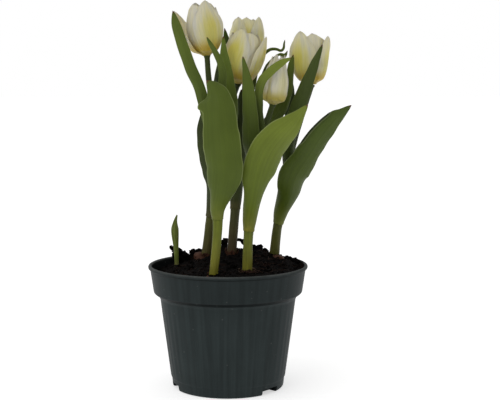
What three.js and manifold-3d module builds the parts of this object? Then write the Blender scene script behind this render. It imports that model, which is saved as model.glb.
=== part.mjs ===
// Tulips in a round nursery pot: five plants with flowers and one young shoot.
// Units are millimetres, +Z is up, and the origin lies on the pot's axis at the
// level of the surface that the pot stands on. The front of the pot looks along -Y.

import * as THREE from 'three';
import { mergeVertices } from 'three/addons/utils/BufferGeometryUtils.js';
import Module from 'manifold-3d';

const wasm = await Module();
wasm.setup();

// ---------------------------------------------------------------------------
// Driving dimensions
// ---------------------------------------------------------------------------

const GAP = 0.3; // clearance between pieces that touch

const POT = {
  height: 101,
  wall: 1.4,
  rimRadius: 65.5, // outside of the rolled lip
  lipHeight: 3.2,
  collarTopRadius: 63.9,
  collarFootRadius: 61.1,
  collarFoot: 79, // height of the collar's lower edge
  bodyTopRadius: 55.8,
  bodyTop: 73.6,
  bodyFootRadius: 47.3,
  footStep: 9.2, // height of the crease above the foot
  footStepRadius: 46.6,
  footRadius: 45.8,
  segments: 40,
};

const DRAIN = { width: 18, height: 4.8, reach: 9, azimuths: [79, 199, 319] };

const SOIL = {
  level: 98.5, // in the front half of the pot
  heaps: [
    { x: 0, y: 34, height: 8.5, spread: 26 },
    { x: 38, y: 28, height: 3, spread: 16 },
    { x: -3, y: 38, height: 5, spread: 6 },
    { x: 44, y: 12, height: 2.4, spread: 13 },
    { x: 26, y: 38, height: 2.5, spread: 9 },
  ], // mounds behind the centre and at the right
  leftDip: 3.5, // the surface drops towards the left wall
  edge: { front: 97.2, right: 100, back: 100, left: 93 },
  rings: 8,
  segments: 32,
  lumps: 1.1,
  lumpCount: 46,
  lumpSpread: 7,
};

const BULB = {
  radius: 11,
  noseRadius: 6.1,
  length: 30,
  noseOut: 1.6, // how far the nose stands out of the soil
  bore: 4.7, // radius of the socket in the nose
  socket: 12, // depth to which the stem goes into the nose
  sides: 10,
};

// Below its first leaf a stem is thicker; the leaf's sheath takes up the step.
const STEM = { baseRadius: 4.0, nodeRadius: 3.1, topRadius: 2.2, sides: 8, stations: 10 };

const RECEPTACLE = { radius: 3.7, neckRadius: 2.2 };
const PISTIL = { ovaryRadius: 2.9, height: 17, stigmaRadius: 3.4 };

const RING = { outer: 5.4, bore: 2.6, height: 2.4, sides: 10 };

const PETAL = { thickness: 0.9, stations: [0, 0.05, 0.17, 0.4, 0.66, 0.87, 1], columns: 4, whorlGap: 2.0 };

const LEAF = { thickness: 1.0, stations: 11, columns: 6, narrowColumns: 4, broad: 12 };

// ---------------------------------------------------------------------------
// Plants. Every route climbs from the soil to the seat of the flower.
// ---------------------------------------------------------------------------

const STEMS = {
  a: [[-19.3, 24, 103.5], [-17.2, 25, 119], [-15, 26, 137], [-8, 27, 172], [-0.8, 21, 210], [4.3, 9, 237], [8.4, 4, 249]],
  b: [[-10.9, -38, 98.5], [-8.3, -37, 123.5], [-7.4, -35, 143.5], [-9, -29, 181], [-11, -21, 220], [-15, -11, 253], [-16.5, -6, 271.5]],
  c: [[2.5, 22, 105.8], [4.6, 24, 126], [6.3, 26, 145], [8, 30, 172], [10.5, 33, 201], [12.6, 35, 231], [14.3, 37, 257.5]],
  d: [[15.7, -23, 99], [16.9, -22, 130], [20.3, -18, 164], [25.5, -13, 195.5], [31.6, -8, 218], [36.4, -5, 232.5]],
  e: [[39.6, 25, 104], [42.6, 23, 129.5], [48.1, 20, 160], [53, 18, 194], [61.1, 18, 223], [69.4, 20, 248.4]],
};

// A bloom is a cup of two whorls of three petals about an axis from its stem's
// end to "top". "girth" is the largest radius, "mouth" the radius at the tips,
// and "turn" the azimuth of the first inner petal. Each petal has a height
// factor, an outward lean at its tip, a width factor, the angle that its tip is
// turned by and a bulge at half its height: three inner petals, then three outer.
const BLOOMS = {
  bloom_a: {
    stem: 'a', top: [16, 4, 291.5], girth: 16.2, mouth: 13, turn: 287,
    petals: [[0.96, 0, 1, 0, 0], [0.96, 0.4, 1, 0, 0], [0.92, 0, 0.95, 0, 0], [0.94, 3.4, 1.04, -2, 0], [0.96, 0.3, 1, 0, 0], [1.0, 0.3, 1.06, 24, 0]],
  },
  bloom_b: {
    stem: 'b', top: [-20.4, -6, 314], girth: 15.5, mouth: 12, turn: 243,
    petals: [[0.95, 0.5, 1.05, -8, 0], [0.87, -0.4, 1, 0, 0], [1.0, 0, 1, 0, 0], [0.99, 0.2, 1.22, -20, 0], [0.97, 0, 1, 0, 0], [0.87, 12, 1.1, -22, 2.5]],
  },
  bloom_c: {
    stem: 'c', top: [15.8, 37, 304], girth: 14.6, mouth: 12.6, turn: 267,
    petals: [[0.98, 0, 1.2, 0, 0], [0.98, 0, 1, 30, 0], [0.97, 0, 1, 0, 0], [1.0, 0.3, 1, -8, 0], [0.96, 0, 1, 0, 0], [0.98, 0.3, 1.1, 30, 0]],
  },
  bud_d: {
    stem: 'd', top: [41.2, -5, 271.8], girth: 10.4, mouth: 4.8, turn: 245, closed: true,
    petals: [[1.0, 0, 1, 0, 0], [1.0, 1.2, 1, 0, 0], [1.0, 0, 1, 0, 0], [0.97, 0, 1.15, 0, 0], [0.98, 1.6, 1.1, 0, 0], [0.95, 0, 1.1, 0, 0]],
  },
  bloom_e: {
    stem: 'e', top: [65.9, 20, 290.5], girth: 15.8, mouth: 14.4, turn: 281,
    petals: [[0.96, 0.4, 1, 0, 0], [0.9, 0, 1, 0, 0], [0.86, 0, 0.9, 0, 0.4], [0.89, 2.4, 1.06, -8, -0.4], [0.93, 0.5, 1, 0, 0], [1.02, -0.8, 1.12, 17, 1.4]],
  },
};

// Radius of a petal's midrib along its height, as a share of the girth, and the
// half width of an inner and of an outer petal as an angle about the axis.
const CUP = {
  height: [0, 0.06, 0.13, 0.24, 0.4, 0.58, 0.76, 0.9, 1],
  openRadius: [0.3, 0.52, 0.68, 0.83, 0.95, 1.0, 0.97, 0.9, 0.84],
  budRadius: [0.4, 0.8, 0.92, 1.0, 1.0, 0.94, 0.8, 0.66, 0.54],
  innerSpread: [50, 53, 55, 57, 57.6, 57, 55, 50, 34],
  outerSpread: [41, 43.5, 45, 46.7, 47.2, 46, 40, 29, 14],
  crown: 0.1, // how much lower a petal's corners lie than its tip
};

// A leaf clasps its stem with a sheath and opens into a blade.
// "sheath" rows are [height on the stem, wrap, turn, play]: the wrap is the
// angle that the section goes round the stem, the turn is the azimuth that the
// inner face looks to, and play is extra room between leaf and stem.
// "blade" rows are [x, y, z, width, turn, wrap, lift] of the midrib: the width
// is measured flat and lift is the elevation of the inner face's normal.
// "wave" is [height, crests, phase] of the margins, and a narrow leaf that
// bends sharply has more "stations" along it.
const LEAVES = {
  leaf_a1: {
    stem: 'a', sheath: [[137, 250, 75, 0.2], [147, 190, 78, 1.2]],
    blade: [[-13.6, 20.3, 162, 12, 82, 110], [-15, 21, 176, 14.5, 85, 80], [-18.3, 22, 195, 16, 88, 70], [-18.8, 23, 212, 15, 88, 60], [-17, 24, 225, 10, 88, 50], [-15.3, 24.5, 235, 1.6, 88, 40]],
    wave: [0.5, 2.5, 0.4],
  },
  leaf_a2: {
    stem: 'a', sheath: [[160, 210, 320, 0.2], [168, 170, 318, 1]],
    blade: [[-14, 37, 184, 9, 310, 110], [-15.5, 38, 202, 10, 312, 80], [-14.5, 34.5, 222, 10.5, 315, 60], [-11.4, 28, 243, 10, 316, 55], [-6.5, 20, 263, 9, 308, 50], [-1.8, 16, 280, 8, 300, 45], [-2.8, 15, 294, 1.5, 300, 40]],
    wave: [0.2, 2, 0],
  },
  leaf_a3: {
    stem: 'a', sheath: [[190, 220, 100, 0.2], [197, 170, 98, 0.8]],
    blade: [[0.5, 10.5, 212, 15, 92, 95], [0.6, -1, 229, 17, 90, 75], [-0.5, -9, 246, 14, 90, 62], [-1.6, -14, 262, 10, 90, 55], [-2.7, -16.5, 275, 5.2, 90, 50], [-3, -17.5, 286, 1.8, 90, 40]],
    wave: [0.3, 2, 1],
  },
  leaf_b1: {
    stem: 'b', sheath: [[142, 280, 90, 0.2], [150, 220, 90, 1.6]],
    blade: [[-4.3, -45.6, 165, 27, 88, 130], [-2.3, -48.4, 181, 32.4, 86, 92], [-3.2, -49, 198, 30.8, 86, 74], [-5, -48, 213, 29.2, 88, 64], [-5.5, -46, 228, 27.4, 90, 60], [-7.4, -43, 240, 19.4, 90, 55], [-10.8, -41.5, 246, 11.6, 90, 48], [-15.8, -40, 251.3, 2, 90, 40]],
    wave: [1.0, 3.2, 2.2],
  },
  leaf_b2: {
    stem: 'b', sheath: [[184, 210, 65, 0.2], [192, 160, 65, 0.8]],
    blade: [[-14, -28, 212, 9.5, 75, 85], [-17.5, -26.5, 228, 9.6, 80, 65], [-21.3, -26, 244, 9.2, 82, 55], [-28.8, -25, 261, 9.8, 84, 55], [-35.2, -23, 279, 9, 84, 50], [-40.2, -21, 295, 7.2, 84, 45], [-42.8, -19, 306, 1.4, 84, 40]],
    wave: [0.2, 2, 0.5],
  },
  leaf_b3: {
    stem: 'b', sheath: [[216, 210, 110, 0.2], [222, 170, 108, 0.6]],
    blade: [[-5.5, -25.5, 238, 7.5, 100, 80], [-3.4, -27, 252, 6.6, 95, 60], [-4.4, -27.5, 262, 5.8, 92, 55], [-8, -27.5, 271, 4.8, 90, 50], [-12, -27.5, 278, 3.6, 90, 45], [-15.8, -27, 285, 1.3, 90, 40]],
    wave: [0.1, 2, 0],
  },
  leaf_c1: {
    stem: 'c', sheath: [[144, 270, 90, 0.2], [158, 240, 90, 0.8]],
    blade: [[7.8, 22.5, 176, 14, 90, 130], [9.2, 21.5, 192, 13.5, 90, 90], [9.6, 22, 207, 11, 90, 70], [9.8, 22.5, 222, 8.8, 90, 60], [10.6, 23, 235, 5.6, 90, 50], [10.8, 23.2, 244, 1.6, 90, 40]],
    wave: [0.2, 2, 0],
  },
  leaf_c2: {
    stem: 'c', sheath: [[176, 210, 170, 0.2], [184, 170, 160, 0.9]],
    blade: [[20.5, 27, 198, 12, 130, 90], [32.5, 19.5, 213, 13, 112, 70], [43, 13.5, 228, 11.4, 100, 58], [48.6, 10.8, 241, 8.2, 95, 50], [50.6, 9.4, 253, 6.2, 90, 45], [51.4, 8.6, 263, 5.2, 90, 40], [53.4, 8, 272.4, 1.3, 90, 35]],
    wave: [0.15, 2, 0],
  },
  leaf_c3: {
    stem: 'c', sheath: [[196, 200, 135, 0.2], [202, 160, 132, 0.5]],
    blade: [[17.5, 25, 217, 4.6, 115, 70], [23, 19, 236, 4.4, 105, 50], [27.8, 15, 253, 3, 100, 45], [31.2, 13.6, 262.6, 1.9, 95, 45], [34.7, 13.2, 267, 1.7, 90, 40], [38.8, 13, 270.6, 1.8, 90, 35], [42.8, 13, 272.6, 2.4, 90, 30], [45.6, 12.8, 271.2, 4.4, 90, 30], [47.2, 12.6, 272.4, 2.6, 90, 30], [48.8, 12.4, 275.6, 1, 90, 30]],
    stations: 13,
    wave: [0.1, 2, 0],
  },
  leaf_c4: {
    stem: 'c', sheath: [[216, 200, 160, 0.2], [222, 160, 150, 0.5]],
    blade: [[18.6, 30, 234, 4, 110, 70], [20.6, 25.5, 245, 3.8, 100, 50], [22.6, 22.5, 256, 3.6, 95, 45], [25.2, 21.5, 266.5, 3.2, 90, 45], [28.4, 21, 271.6, 3, 90, 40], [31.3, 20.8, 274.6, 2.8, 90, 40], [35, 20.6, 276.8, 2.6, 90, 40], [39.6, 20.3, 277, 2.4, 90, 35], [43.8, 20, 275.8, 2.2, 90, 35], [45.8, 19.8, 277.8, 2, 90, 35], [46.2, 19.6, 281.2, 1.6, 90, 30], [46.9, 19.4, 284.8, 0.8, 90, 30]],
    stations: 14,
    wave: [0.1, 2, 0],
  },
  leaf_d1: {
    stem: 'd', sheath: [[131, 290, 100, 0.2], [141, 230, 100, 1.4]],
    blade: [[21.6, -34.5, 158, 19.2, 105, 130], [25.7, -39, 178, 28, 108, 92], [32.1, -40.5, 195, 31, 112, 78], [41.7, -40, 208, 26.4, 114, 68], [51.1, -38, 217.5, 17.6, 114, 58], [58.2, -34.5, 225.8, 8.2, 112, 50], [63.5, -32, 232.4, 1.8, 110, 40]],
    wave: [0.9, 2.6, 0.2],
  },
  leaf_d2: {
    stem: 'd', sheath: [[168, 220, 55, 0.2], [178, 170, 58, 1]],
    blade: [[18.4, -26, 196, 14.6, 70, 95], [18.2, -26.6, 212, 14.4, 78, 75], [17.8, -26.4, 228, 12.8, 84, 62], [16.8, -25.8, 244, 9.7, 88, 56], [15.1, -25.4, 256, 6.4, 90, 50], [12.4, -26, 270, 1.5, 90, 40]],
    wave: [0.4, 2.5, 1.2],
  },
  leaf_d3: {
    stem: 'd', sheath: [[198, 210, 115, 0.2], [204, 140, 112, 0.8]],
    blade: [[26, -17, 221, 7, 100, 80], [25, -18.5, 234, 7, 92, 65], [25.3, -19.5, 244, 7, 90, 55], [28.4, -20.3, 252.2, 7.4, 90, 50], [34.6, -20.3, 258.6, 7, 90, 50], [42.4, -19.6, 264.6, 5.8, 90, 45], [51, -18.5, 269, 1.4, 90, 40]],
    wave: [0.1, 2, 0],
  },
  leaf_e1: {
    stem: 'e', sheath: [[131, 280, 100, 0.2], [141, 230, 102, 1.2]],
    blade: [[51.2, 6, 157, 24, 106, 125], [55, -3, 173.6, 28.2, 108, 92], [65.8, -9, 191.2, 22.4, 112, 76], [75.8, -11, 207, 18.8, 114, 66], [86, -10, 219.4, 13.6, 114, 58], [99.8, -7, 231.5, 1.8, 112, 40]],
    wave: [0.4, 2.4, 2.4],
  },
  leaf_e2: {
    stem: 'e', sheath: [[170, 220, 95, 0.2], [178, 180, 92, 1]],
    blade: [[49.5, 9, 196, 11, 88, 100], [51.5, 1, 211, 12.6, 86, 75], [55, -4, 225, 13, 85, 66], [60.3, -7, 240, 12, 86, 60], [65.5, -8, 253, 10, 88, 56], [71, -7.2, 267, 6.4, 90, 50], [76.3, -5.5, 280, 1.4, 90, 40]],
    wave: [0.3, 2.2, 0],
  },
  leaf_e3: {
    stem: 'e', sheath: [[192, 200, 320, 0.2], [199, 160, 318, 0.6]],
    blade: [[51, 25, 212, 9.6, 300, 75], [50.8, 24, 231, 9.8, 292, 60], [51.8, 22.5, 245, 6, 292, 50], [51.3, 21.5, 255, 1.5, 315, 40]],
    wave: [0.1, 2, 0],
  },
};

const SHOOT = {
  route: [[-43.7, 22, 90], [-43.7, 22, 98], [-44.2, 21.8, 112], [-45, 21.5, 126.5], [-44.6, 21.2, 133.5], [-43, 21, 139.5]],
  radii: [1.7, 1.8, 2.2, 3.2, 1.7, 0.6],
  sides: 8,
  stations: 9,
};

// ---------------------------------------------------------------------------
// Colours
// ---------------------------------------------------------------------------

const paint = (color, roughness) => new THREE.MeshStandardMaterial({ color, roughness, metalness: 0 });

const FINISH = {
  pot: paint(0x2c3434, 0.45),
  soil: paint(0x1d1712, 0.95),
  bulb: paint(0x6e4630, 0.7),
  stem: paint(0x6d7f3a, 0.5),
  stemDark: paint(0x6a5a44, 0.5),
  leaf: paint(0x5c6f2c, 0.45),
  leafBright: paint(0x71832f, 0.45),
  leafDark: paint(0x3c4a20, 0.5),
  petal: paint(0xe2ddc4, 0.5),
  bud: paint(0xc9b46e, 0.5),
};

// ---------------------------------------------------------------------------
// Geometry helpers
// ---------------------------------------------------------------------------

const rad = THREE.MathUtils.degToRad;
const lerp = THREE.MathUtils.lerp;
const vec = (p) => new THREE.Vector3(p[0], p[1], p[2]);

// Six times the signed volume tells whether the triangles face outward.
function signedVolume(points, triangles) {
  let sum = 0;
  for (const [a, b, c] of triangles) {
    sum += points[a].dot(new THREE.Vector3().crossVectors(points[b], points[c]));
  }
  return sum / 6;
}

function meshGeometry(points, triangles) {
  const inward = signedVolume(points, triangles) < 0;
  const index = triangles.flatMap(([a, b, c]) => (inward ? [a, c, b] : [a, b, c]));
  const geometry = new THREE.BufferGeometry();
  geometry.setAttribute('position', new THREE.Float32BufferAttribute(points.flatMap((p) => [p.x, p.y, p.z]), 3));
  geometry.setIndex(index);
  return geometry;
}

function toSolid(source) {
  const copy = source.clone();
  copy.deleteAttribute('normal');
  copy.deleteAttribute('uv');
  const merged = mergeVertices(copy, 1e-4);
  const position = merged.attributes.position;
  const points = [];
  for (let i = 0; i < position.count; i += 1) points.push(new THREE.Vector3().fromBufferAttribute(position, i));
  const triangles = [];
  for (let i = 0; i < merged.index.count; i += 3) {
    const t = [merged.index.getX(i), merged.index.getX(i + 1), merged.index.getX(i + 2)];
    if (t[0] !== t[1] && t[1] !== t[2] && t[2] !== t[0]) triangles.push(t);
  }
  const closed = meshGeometry(points, triangles);
  return new wasm.Manifold(new wasm.Mesh({
    numProp: 3,
    vertProperties: new Float32Array(closed.attributes.position.array),
    triVerts: new Uint32Array(closed.index.array),
  }));
}

function toGeometry(solid) {
  const mesh = solid.getMesh();
  const geometry = new THREE.BufferGeometry();
  geometry.setAttribute('position', new THREE.BufferAttribute(new Float32Array(mesh.vertProperties), 3));
  geometry.setIndex(new THREE.BufferAttribute(new Uint32Array(mesh.triVerts), 1));
  return geometry;
}

// A body of revolution about the Z axis from [radius, height] pairs.
function turned(profile, segments) {
  const lathe = new THREE.LatheGeometry(profile.map(([r, z]) => new THREE.Vector2(r, z)), segments);
  lathe.rotateX(Math.PI / 2);
  return toSolid(lathe);
}

// Values along a polyline of rows, smooth in every column, by distance.
function rowSpline(rows) {
  const knots = [0];
  for (let k = 1; k < rows.length; k += 1) {
    knots.push(knots[k - 1] + vec(rows[k]).distanceTo(vec(rows[k - 1])));
  }
  const last = rows.length - 1;
  const slopes = rows.map((row, k) => {
    const lo = Math.max(k - 1, 0);
    const hi = Math.min(k + 1, last);
    return row.map((_, c) => (rows[hi][c] - rows[lo][c]) / (knots[hi] - knots[lo]));
  });
  const at = (distance) => {
    const s = THREE.MathUtils.clamp(distance, 0, knots[last]);
    let k = 0;
    while (k < last - 1 && s > knots[k + 1]) k += 1;
    const span = knots[k + 1] - knots[k];
    const t = (s - knots[k]) / span;
    const h0 = 2 * t ** 3 - 3 * t ** 2 + 1;
    const h1 = t ** 3 - 2 * t ** 2 + t;
    const h2 = -2 * t ** 3 + 3 * t ** 2;
    const h3 = t ** 3 - t ** 2;
    return rows[k].map((v, c) => h0 * v + h1 * span * slopes[k][c] + h2 * rows[k + 1][c] + h3 * span * slopes[k + 1][c]);
  };
  return { at, length: knots[last] };
}

// A round bar through stations of { point, tangent, radius }.
function bar(stations, sides) {
  const points = [];
  for (const { point, tangent, radius } of stations) {
    const side = new THREE.Vector3(1, 0, 0).addScaledVector(tangent, -tangent.x).normalize();
    const front = new THREE.Vector3().crossVectors(tangent, side);
    for (let k = 0; k < sides; k += 1) {
      const angle = (2 * Math.PI * (k + 0.5)) / sides;
      points.push(point.clone().addScaledVector(side, radius * Math.cos(angle)).addScaledVector(front, radius * Math.sin(angle)));
    }
  }
  const triangles = [];
  for (let i = 0; i + 1 < stations.length; i += 1) {
    for (let k = 0; k < sides; k += 1) {
      const a = i * sides + k;
      const b = i * sides + ((k + 1) % sides);
      triangles.push([a, b, b + sides], [a, b + sides, a + sides]);
    }
  }
  const foot = points.push(stations[0].point.clone()) - 1;
  const head = points.push(stations.at(-1).point.clone()) - 1;
  const top = (stations.length - 1) * sides;
  for (let k = 0; k < sides; k += 1) {
    triangles.push([foot, (k + 1) % sides, k], [head, top + k, top + ((k + 1) % sides)]);
  }
  return meshGeometry(points, triangles);
}

// A thin sheet from sections of { outer, inner } point rows. Both faces are
// split along the same diagonals, so they stay one thickness apart.
function sheet(sections) {
  const columns = sections[0].outer.length - 1;
  const row = columns + 1;
  const points = sections.flatMap(({ outer, inner }) => [...outer, ...inner]);
  const id = (i, face, j) => (2 * i + face) * row + j;
  const triangles = [];
  for (let i = 0; i + 1 < sections.length; i += 1) {
    for (let j = 0; j < columns; j += 1) {
      triangles.push([id(i, 0, j), id(i, 0, j + 1), id(i + 1, 0, j + 1)], [id(i, 0, j), id(i + 1, 0, j + 1), id(i + 1, 0, j)]);
      triangles.push([id(i, 1, j), id(i + 1, 1, j + 1), id(i, 1, j + 1)], [id(i, 1, j), id(i + 1, 1, j), id(i + 1, 1, j + 1)]);
    }
    triangles.push([id(i, 0, 0), id(i + 1, 1, 0), id(i, 1, 0)], [id(i, 0, 0), id(i + 1, 0, 0), id(i + 1, 1, 0)]);
    triangles.push([id(i, 0, columns), id(i, 1, columns), id(i + 1, 1, columns)], [id(i, 0, columns), id(i + 1, 1, columns), id(i + 1, 0, columns)]);
  }
  const end = sections.length - 1;
  for (let j = 0; j < columns; j += 1) {
    triangles.push([id(0, 0, j), id(0, 1, j), id(0, 1, j + 1)], [id(0, 0, j), id(0, 1, j + 1), id(0, 0, j + 1)]);
    triangles.push([id(end, 0, j), id(end, 1, j + 1), id(end, 1, j)], [id(end, 0, j), id(end, 0, j + 1), id(end, 1, j + 1)]);
  }
  return meshGeometry(points, triangles);
}

function interpolate(keys, values, t) {
  let k = 0;
  while (k < keys.length - 2 && t > keys[k + 1]) k += 1;
  return lerp(values[k], values[k + 1], (t - keys[k]) / (keys[k + 1] - keys[k]));
}

// ---------------------------------------------------------------------------
// Pot
// ---------------------------------------------------------------------------

const POT_OUTSIDE = [
  [POT.footRadius - 1.1, 0], [POT.footRadius, 1.1], [POT.footStepRadius, POT.footStep - 1.2], [POT.bodyFootRadius, POT.footStep],
  [POT.bodyTopRadius, POT.bodyTop], [POT.bodyTopRadius + 1.5, POT.collarFoot - 2.8], [POT.collarFootRadius - 1.2, POT.collarFoot - 1.2],
  [POT.collarFootRadius, POT.collarFoot], [POT.collarTopRadius, POT.height - POT.lipHeight],
  [POT.rimRadius - 0.5, POT.height - POT.lipHeight + 0.3], [POT.rimRadius, POT.height - POT.lipHeight + 1.2],
  [POT.rimRadius, POT.height - 0.9], [POT.rimRadius - 0.8, POT.height],
];

const POT_INSIDE = [
  [POT.collarTopRadius - 0.6, POT.height], [POT.collarTopRadius - POT.wall, POT.height - 1],
  [POT.collarTopRadius - POT.wall, POT.height - POT.lipHeight], [POT.collarFootRadius - POT.wall, POT.collarFoot + 0.6],
  [POT.bodyTopRadius + 1.5 - POT.wall, POT.collarFoot - 1.6], [POT.bodyTopRadius - POT.wall, POT.bodyTop + 0.4],
  [POT.bodyFootRadius - POT.wall, POT.footStep + 0.4], [POT.footRadius - 1.1 - POT.wall, POT.wall + 1],
  [POT.footRadius - 2 - POT.wall, POT.wall],
];

function makePot() {
  let pot = turned([[0, 0], ...POT_OUTSIDE, ...POT_INSIDE, [0, POT.wall]], POT.segments);
  for (const azimuth of DRAIN.azimuths) {
    const notch = new THREE.BoxGeometry(2 * DRAIN.reach, DRAIN.width, 2 * DRAIN.height);
    notch.translate(POT.footRadius, 0, 0);
    notch.rotateZ(rad(azimuth));
    pot = pot.subtract(toSolid(notch));
  }
  return toGeometry(pot);
}

// ---------------------------------------------------------------------------
// Soil
// ---------------------------------------------------------------------------

// A repeatable draw in 0..1 from a whole number.
const draw = (n) => {
  const x = Math.sin(n * 127.1 + 11.7) * 43758.5453;
  return x - Math.floor(x);
};

const LUMPS = Array.from({ length: SOIL.lumpCount }, (_, n) => {
  const radius = 56 * Math.sqrt(draw(3 * n));
  const azimuth = 2 * Math.PI * draw(3 * n + 1);
  return { x: radius * Math.cos(azimuth), y: radius * Math.sin(azimuth), height: SOIL.lumps * (1.6 * draw(3 * n + 2) - 0.5) };
});

const smooth = (a, b, v) => THREE.MathUtils.smoothstep(v, a, b);

function soilHeight(x, y) {
  const heap = SOIL.heaps.reduce((sum, h) => sum + h.height * Math.exp(-((x - h.x) ** 2 + (y - h.y) ** 2) / (2 * h.spread ** 2)), 0);
  const inside = SOIL.level + heap - SOIL.leftDip * smooth(24, 46, -x);
  const { front, right, back, left } = SOIL.edge;
  const azimuth = Math.atan2(y, x);
  const sideways = Math.cos(azimuth) > 0 ? right : left;
  const along = Math.sin(azimuth) > 0 ? back : front;
  const edge = lerp(along, sideways, Math.cos(azimuth) ** 2);
  const blend = smooth(42, 61, Math.hypot(x, y));
  let z = lerp(inside, edge, blend);
  for (const lump of LUMPS) {
    z += lump.height * Math.exp(-((x - lump.x) ** 2 + (y - lump.y) ** 2) / (2 * SOIL.lumpSpread ** 2)) * (1 - blend);
  }
  return z;
}

// Inner radius of the pot at a height, from its inside profile.
function potBore(z) {
  const rows = [...POT_INSIDE].reverse();
  for (let k = 0; k + 1 < rows.length; k += 1) {
    if (z <= rows[k + 1][1]) return lerp(rows[k][0], rows[k + 1][0], (z - rows[k][1]) / (rows[k + 1][1] - rows[k][1]));
  }
  return rows.at(-1)[0];
}

function makeSoil(cutters) {
  const segments = SOIL.segments;
  const facet = Math.cos(Math.PI / POT.segments);
  const points = [];
  const push = (radius, k, z) => {
    const angle = (2 * Math.PI * k) / segments;
    return points.push(new THREE.Vector3(radius * Math.cos(angle), radius * Math.sin(angle), z)) - 1;
  };
  const sideHeights = [POT.wall + GAP, POT.wall + 1.3, POT.footStep + 0.5, POT.bodyTop + 0.2, POT.collarFoot - 1.4, POT.collarFoot + 0.8];
  const rows = sideHeights.map((z, n) => {
    const radius = potBore(n === 0 ? POT.wall + 0.05 : z) * facet - 2 * GAP - (n === 0 ? 0.3 : 0);
    return Array.from({ length: segments }, (_, k) => push(radius, k, z));
  });
  const edgeRadius = 59;
  for (let ring = SOIL.rings; ring >= 1; ring -= 1) {
    rows.push(Array.from({ length: segments }, (_, k) => {
      const angle = (2 * Math.PI * k) / segments;
      const wallHeight = soilHeight(edgeRadius * Math.cos(angle), edgeRadius * Math.sin(angle));
      const radius = ((potBore(wallHeight) * facet - 2 * GAP) * ring) / SOIL.rings;
      return push(radius, k, ring === SOIL.rings ? wallHeight : soilHeight(radius * Math.cos(angle), radius * Math.sin(angle)));
    }));
  }
  const triangles = [];
  for (let i = 0; i + 1 < rows.length; i += 1) {
    for (let k = 0; k < segments; k += 1) {
      const n = (k + 1) % segments;
      triangles.push([rows[i][k], rows[i][n], rows[i + 1][n]], [rows[i][k], rows[i + 1][n], rows[i + 1][k]]);
    }
  }
  const bottom = points.push(new THREE.Vector3(0, 0, POT.wall + GAP)) - 1;
  const top = points.push(new THREE.Vector3(0, 0, soilHeight(0, 0))) - 1;
  for (let k = 0; k < segments; k += 1) {
    const n = (k + 1) % segments;
    triangles.push([bottom, rows[0][n], rows[0][k]], [top, rows.at(-1)[k], rows.at(-1)[n]]);
  }
  let soil = toSolid(meshGeometry(points, triangles));
  for (const cutter of cutters) soil = soil.subtract(cutter);
  return toGeometry(soil);
}

// ---------------------------------------------------------------------------
// Bulbs, stems and shoot
// ---------------------------------------------------------------------------

// [radius, height below the nose] of a bulb, grown by "extra" all round.
function bulbProfile(extra) {
  const { radius, noseRadius, length } = BULB;
  return [
    [0, -length - extra], [0.4 * radius + extra, -length + 0.4 - extra], [0.8 * radius + extra, -0.84 * length],
    [radius + extra, -0.6 * length], [0.97 * radius + extra, -0.36 * length], [0.8 * radius + extra, -0.16 * length],
    [noseRadius + extra, -0.04 * length],
  ];
}

function bulbPlace(route) {
  const [x, y, z] = route[0];
  return [x, y, Math.max(z, soilHeight(x, y)) + BULB.noseOut - 1];
}

function makeBulb(route) {
  const { bore, socket } = BULB;
  const profile = [...bulbProfile(0), [bore + 0.4, 0], [bore, -0.6], [bore, -socket], [0, -socket]];
  const bulb = toGeometry(turned(profile, BULB.sides));
  bulb.translate(...bulbPlace(route));
  return bulb;
}

function bulbPocket(route) {
  const profile = [...bulbProfile(GAP), [BULB.noseRadius + GAP, 14], [0, 14]];
  const pocket = toGeometry(turned(profile, BULB.sides));
  pocket.translate(...bulbPlace(route));
  return toSolid(pocket);
}

function shootPocket() {
  const [x, y, z] = SHOOT.route[0];
  const pocket = toGeometry(turned([[0, -GAP], [SHOOT.radii[2] + GAP, -GAP], [SHOOT.radii[2] + GAP, 24], [0, 24]], BULB.sides));
  pocket.translate(x, y, z);
  return toSolid(pocket);
}

// Height at which a stem's first leaf clasps it.
const firstNode = (route) => Math.min(...Object.values(LEAVES).filter((leaf) => STEMS[leaf.stem] === route).map((leaf) => leaf.sheath[0][0]));

function stemRadius(route, z) {
  const node = firstNode(route);
  if (z < node - 1.5) return lerp(STEM.baseRadius, STEM.baseRadius - 0.2, smooth(route[0][2], node, z));
  return lerp(STEM.nodeRadius, STEM.topRadius, THREE.MathUtils.clamp((z - node) / (route.at(-1)[2] - node), 0, 1));
}

// Distance along a stem's route at which it reaches a height.
function stemDistance(route, z) {
  const spline = rowSpline(route);
  let lo = 0;
  let hi = spline.length;
  for (let n = 0; n < 30; n += 1) {
    const middle = (lo + hi) / 2;
    if (spline.at(middle)[2] < z) lo = middle;
    else hi = middle;
  }
  return lo;
}

const stemPoint = (route, z) => vec(rowSpline(route).at(stemDistance(route, z)));

function tangentAt(spline, s) {
  const step = 0.5;
  return vec(spline.at(Math.min(s + step, spline.length))).sub(vec(spline.at(Math.max(s - step, 0)))).normalize();
}

const bloomAxis = (bloom) => vec(bloom.top).sub(vec(STEMS[bloom.stem].at(-1))).normalize();

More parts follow.
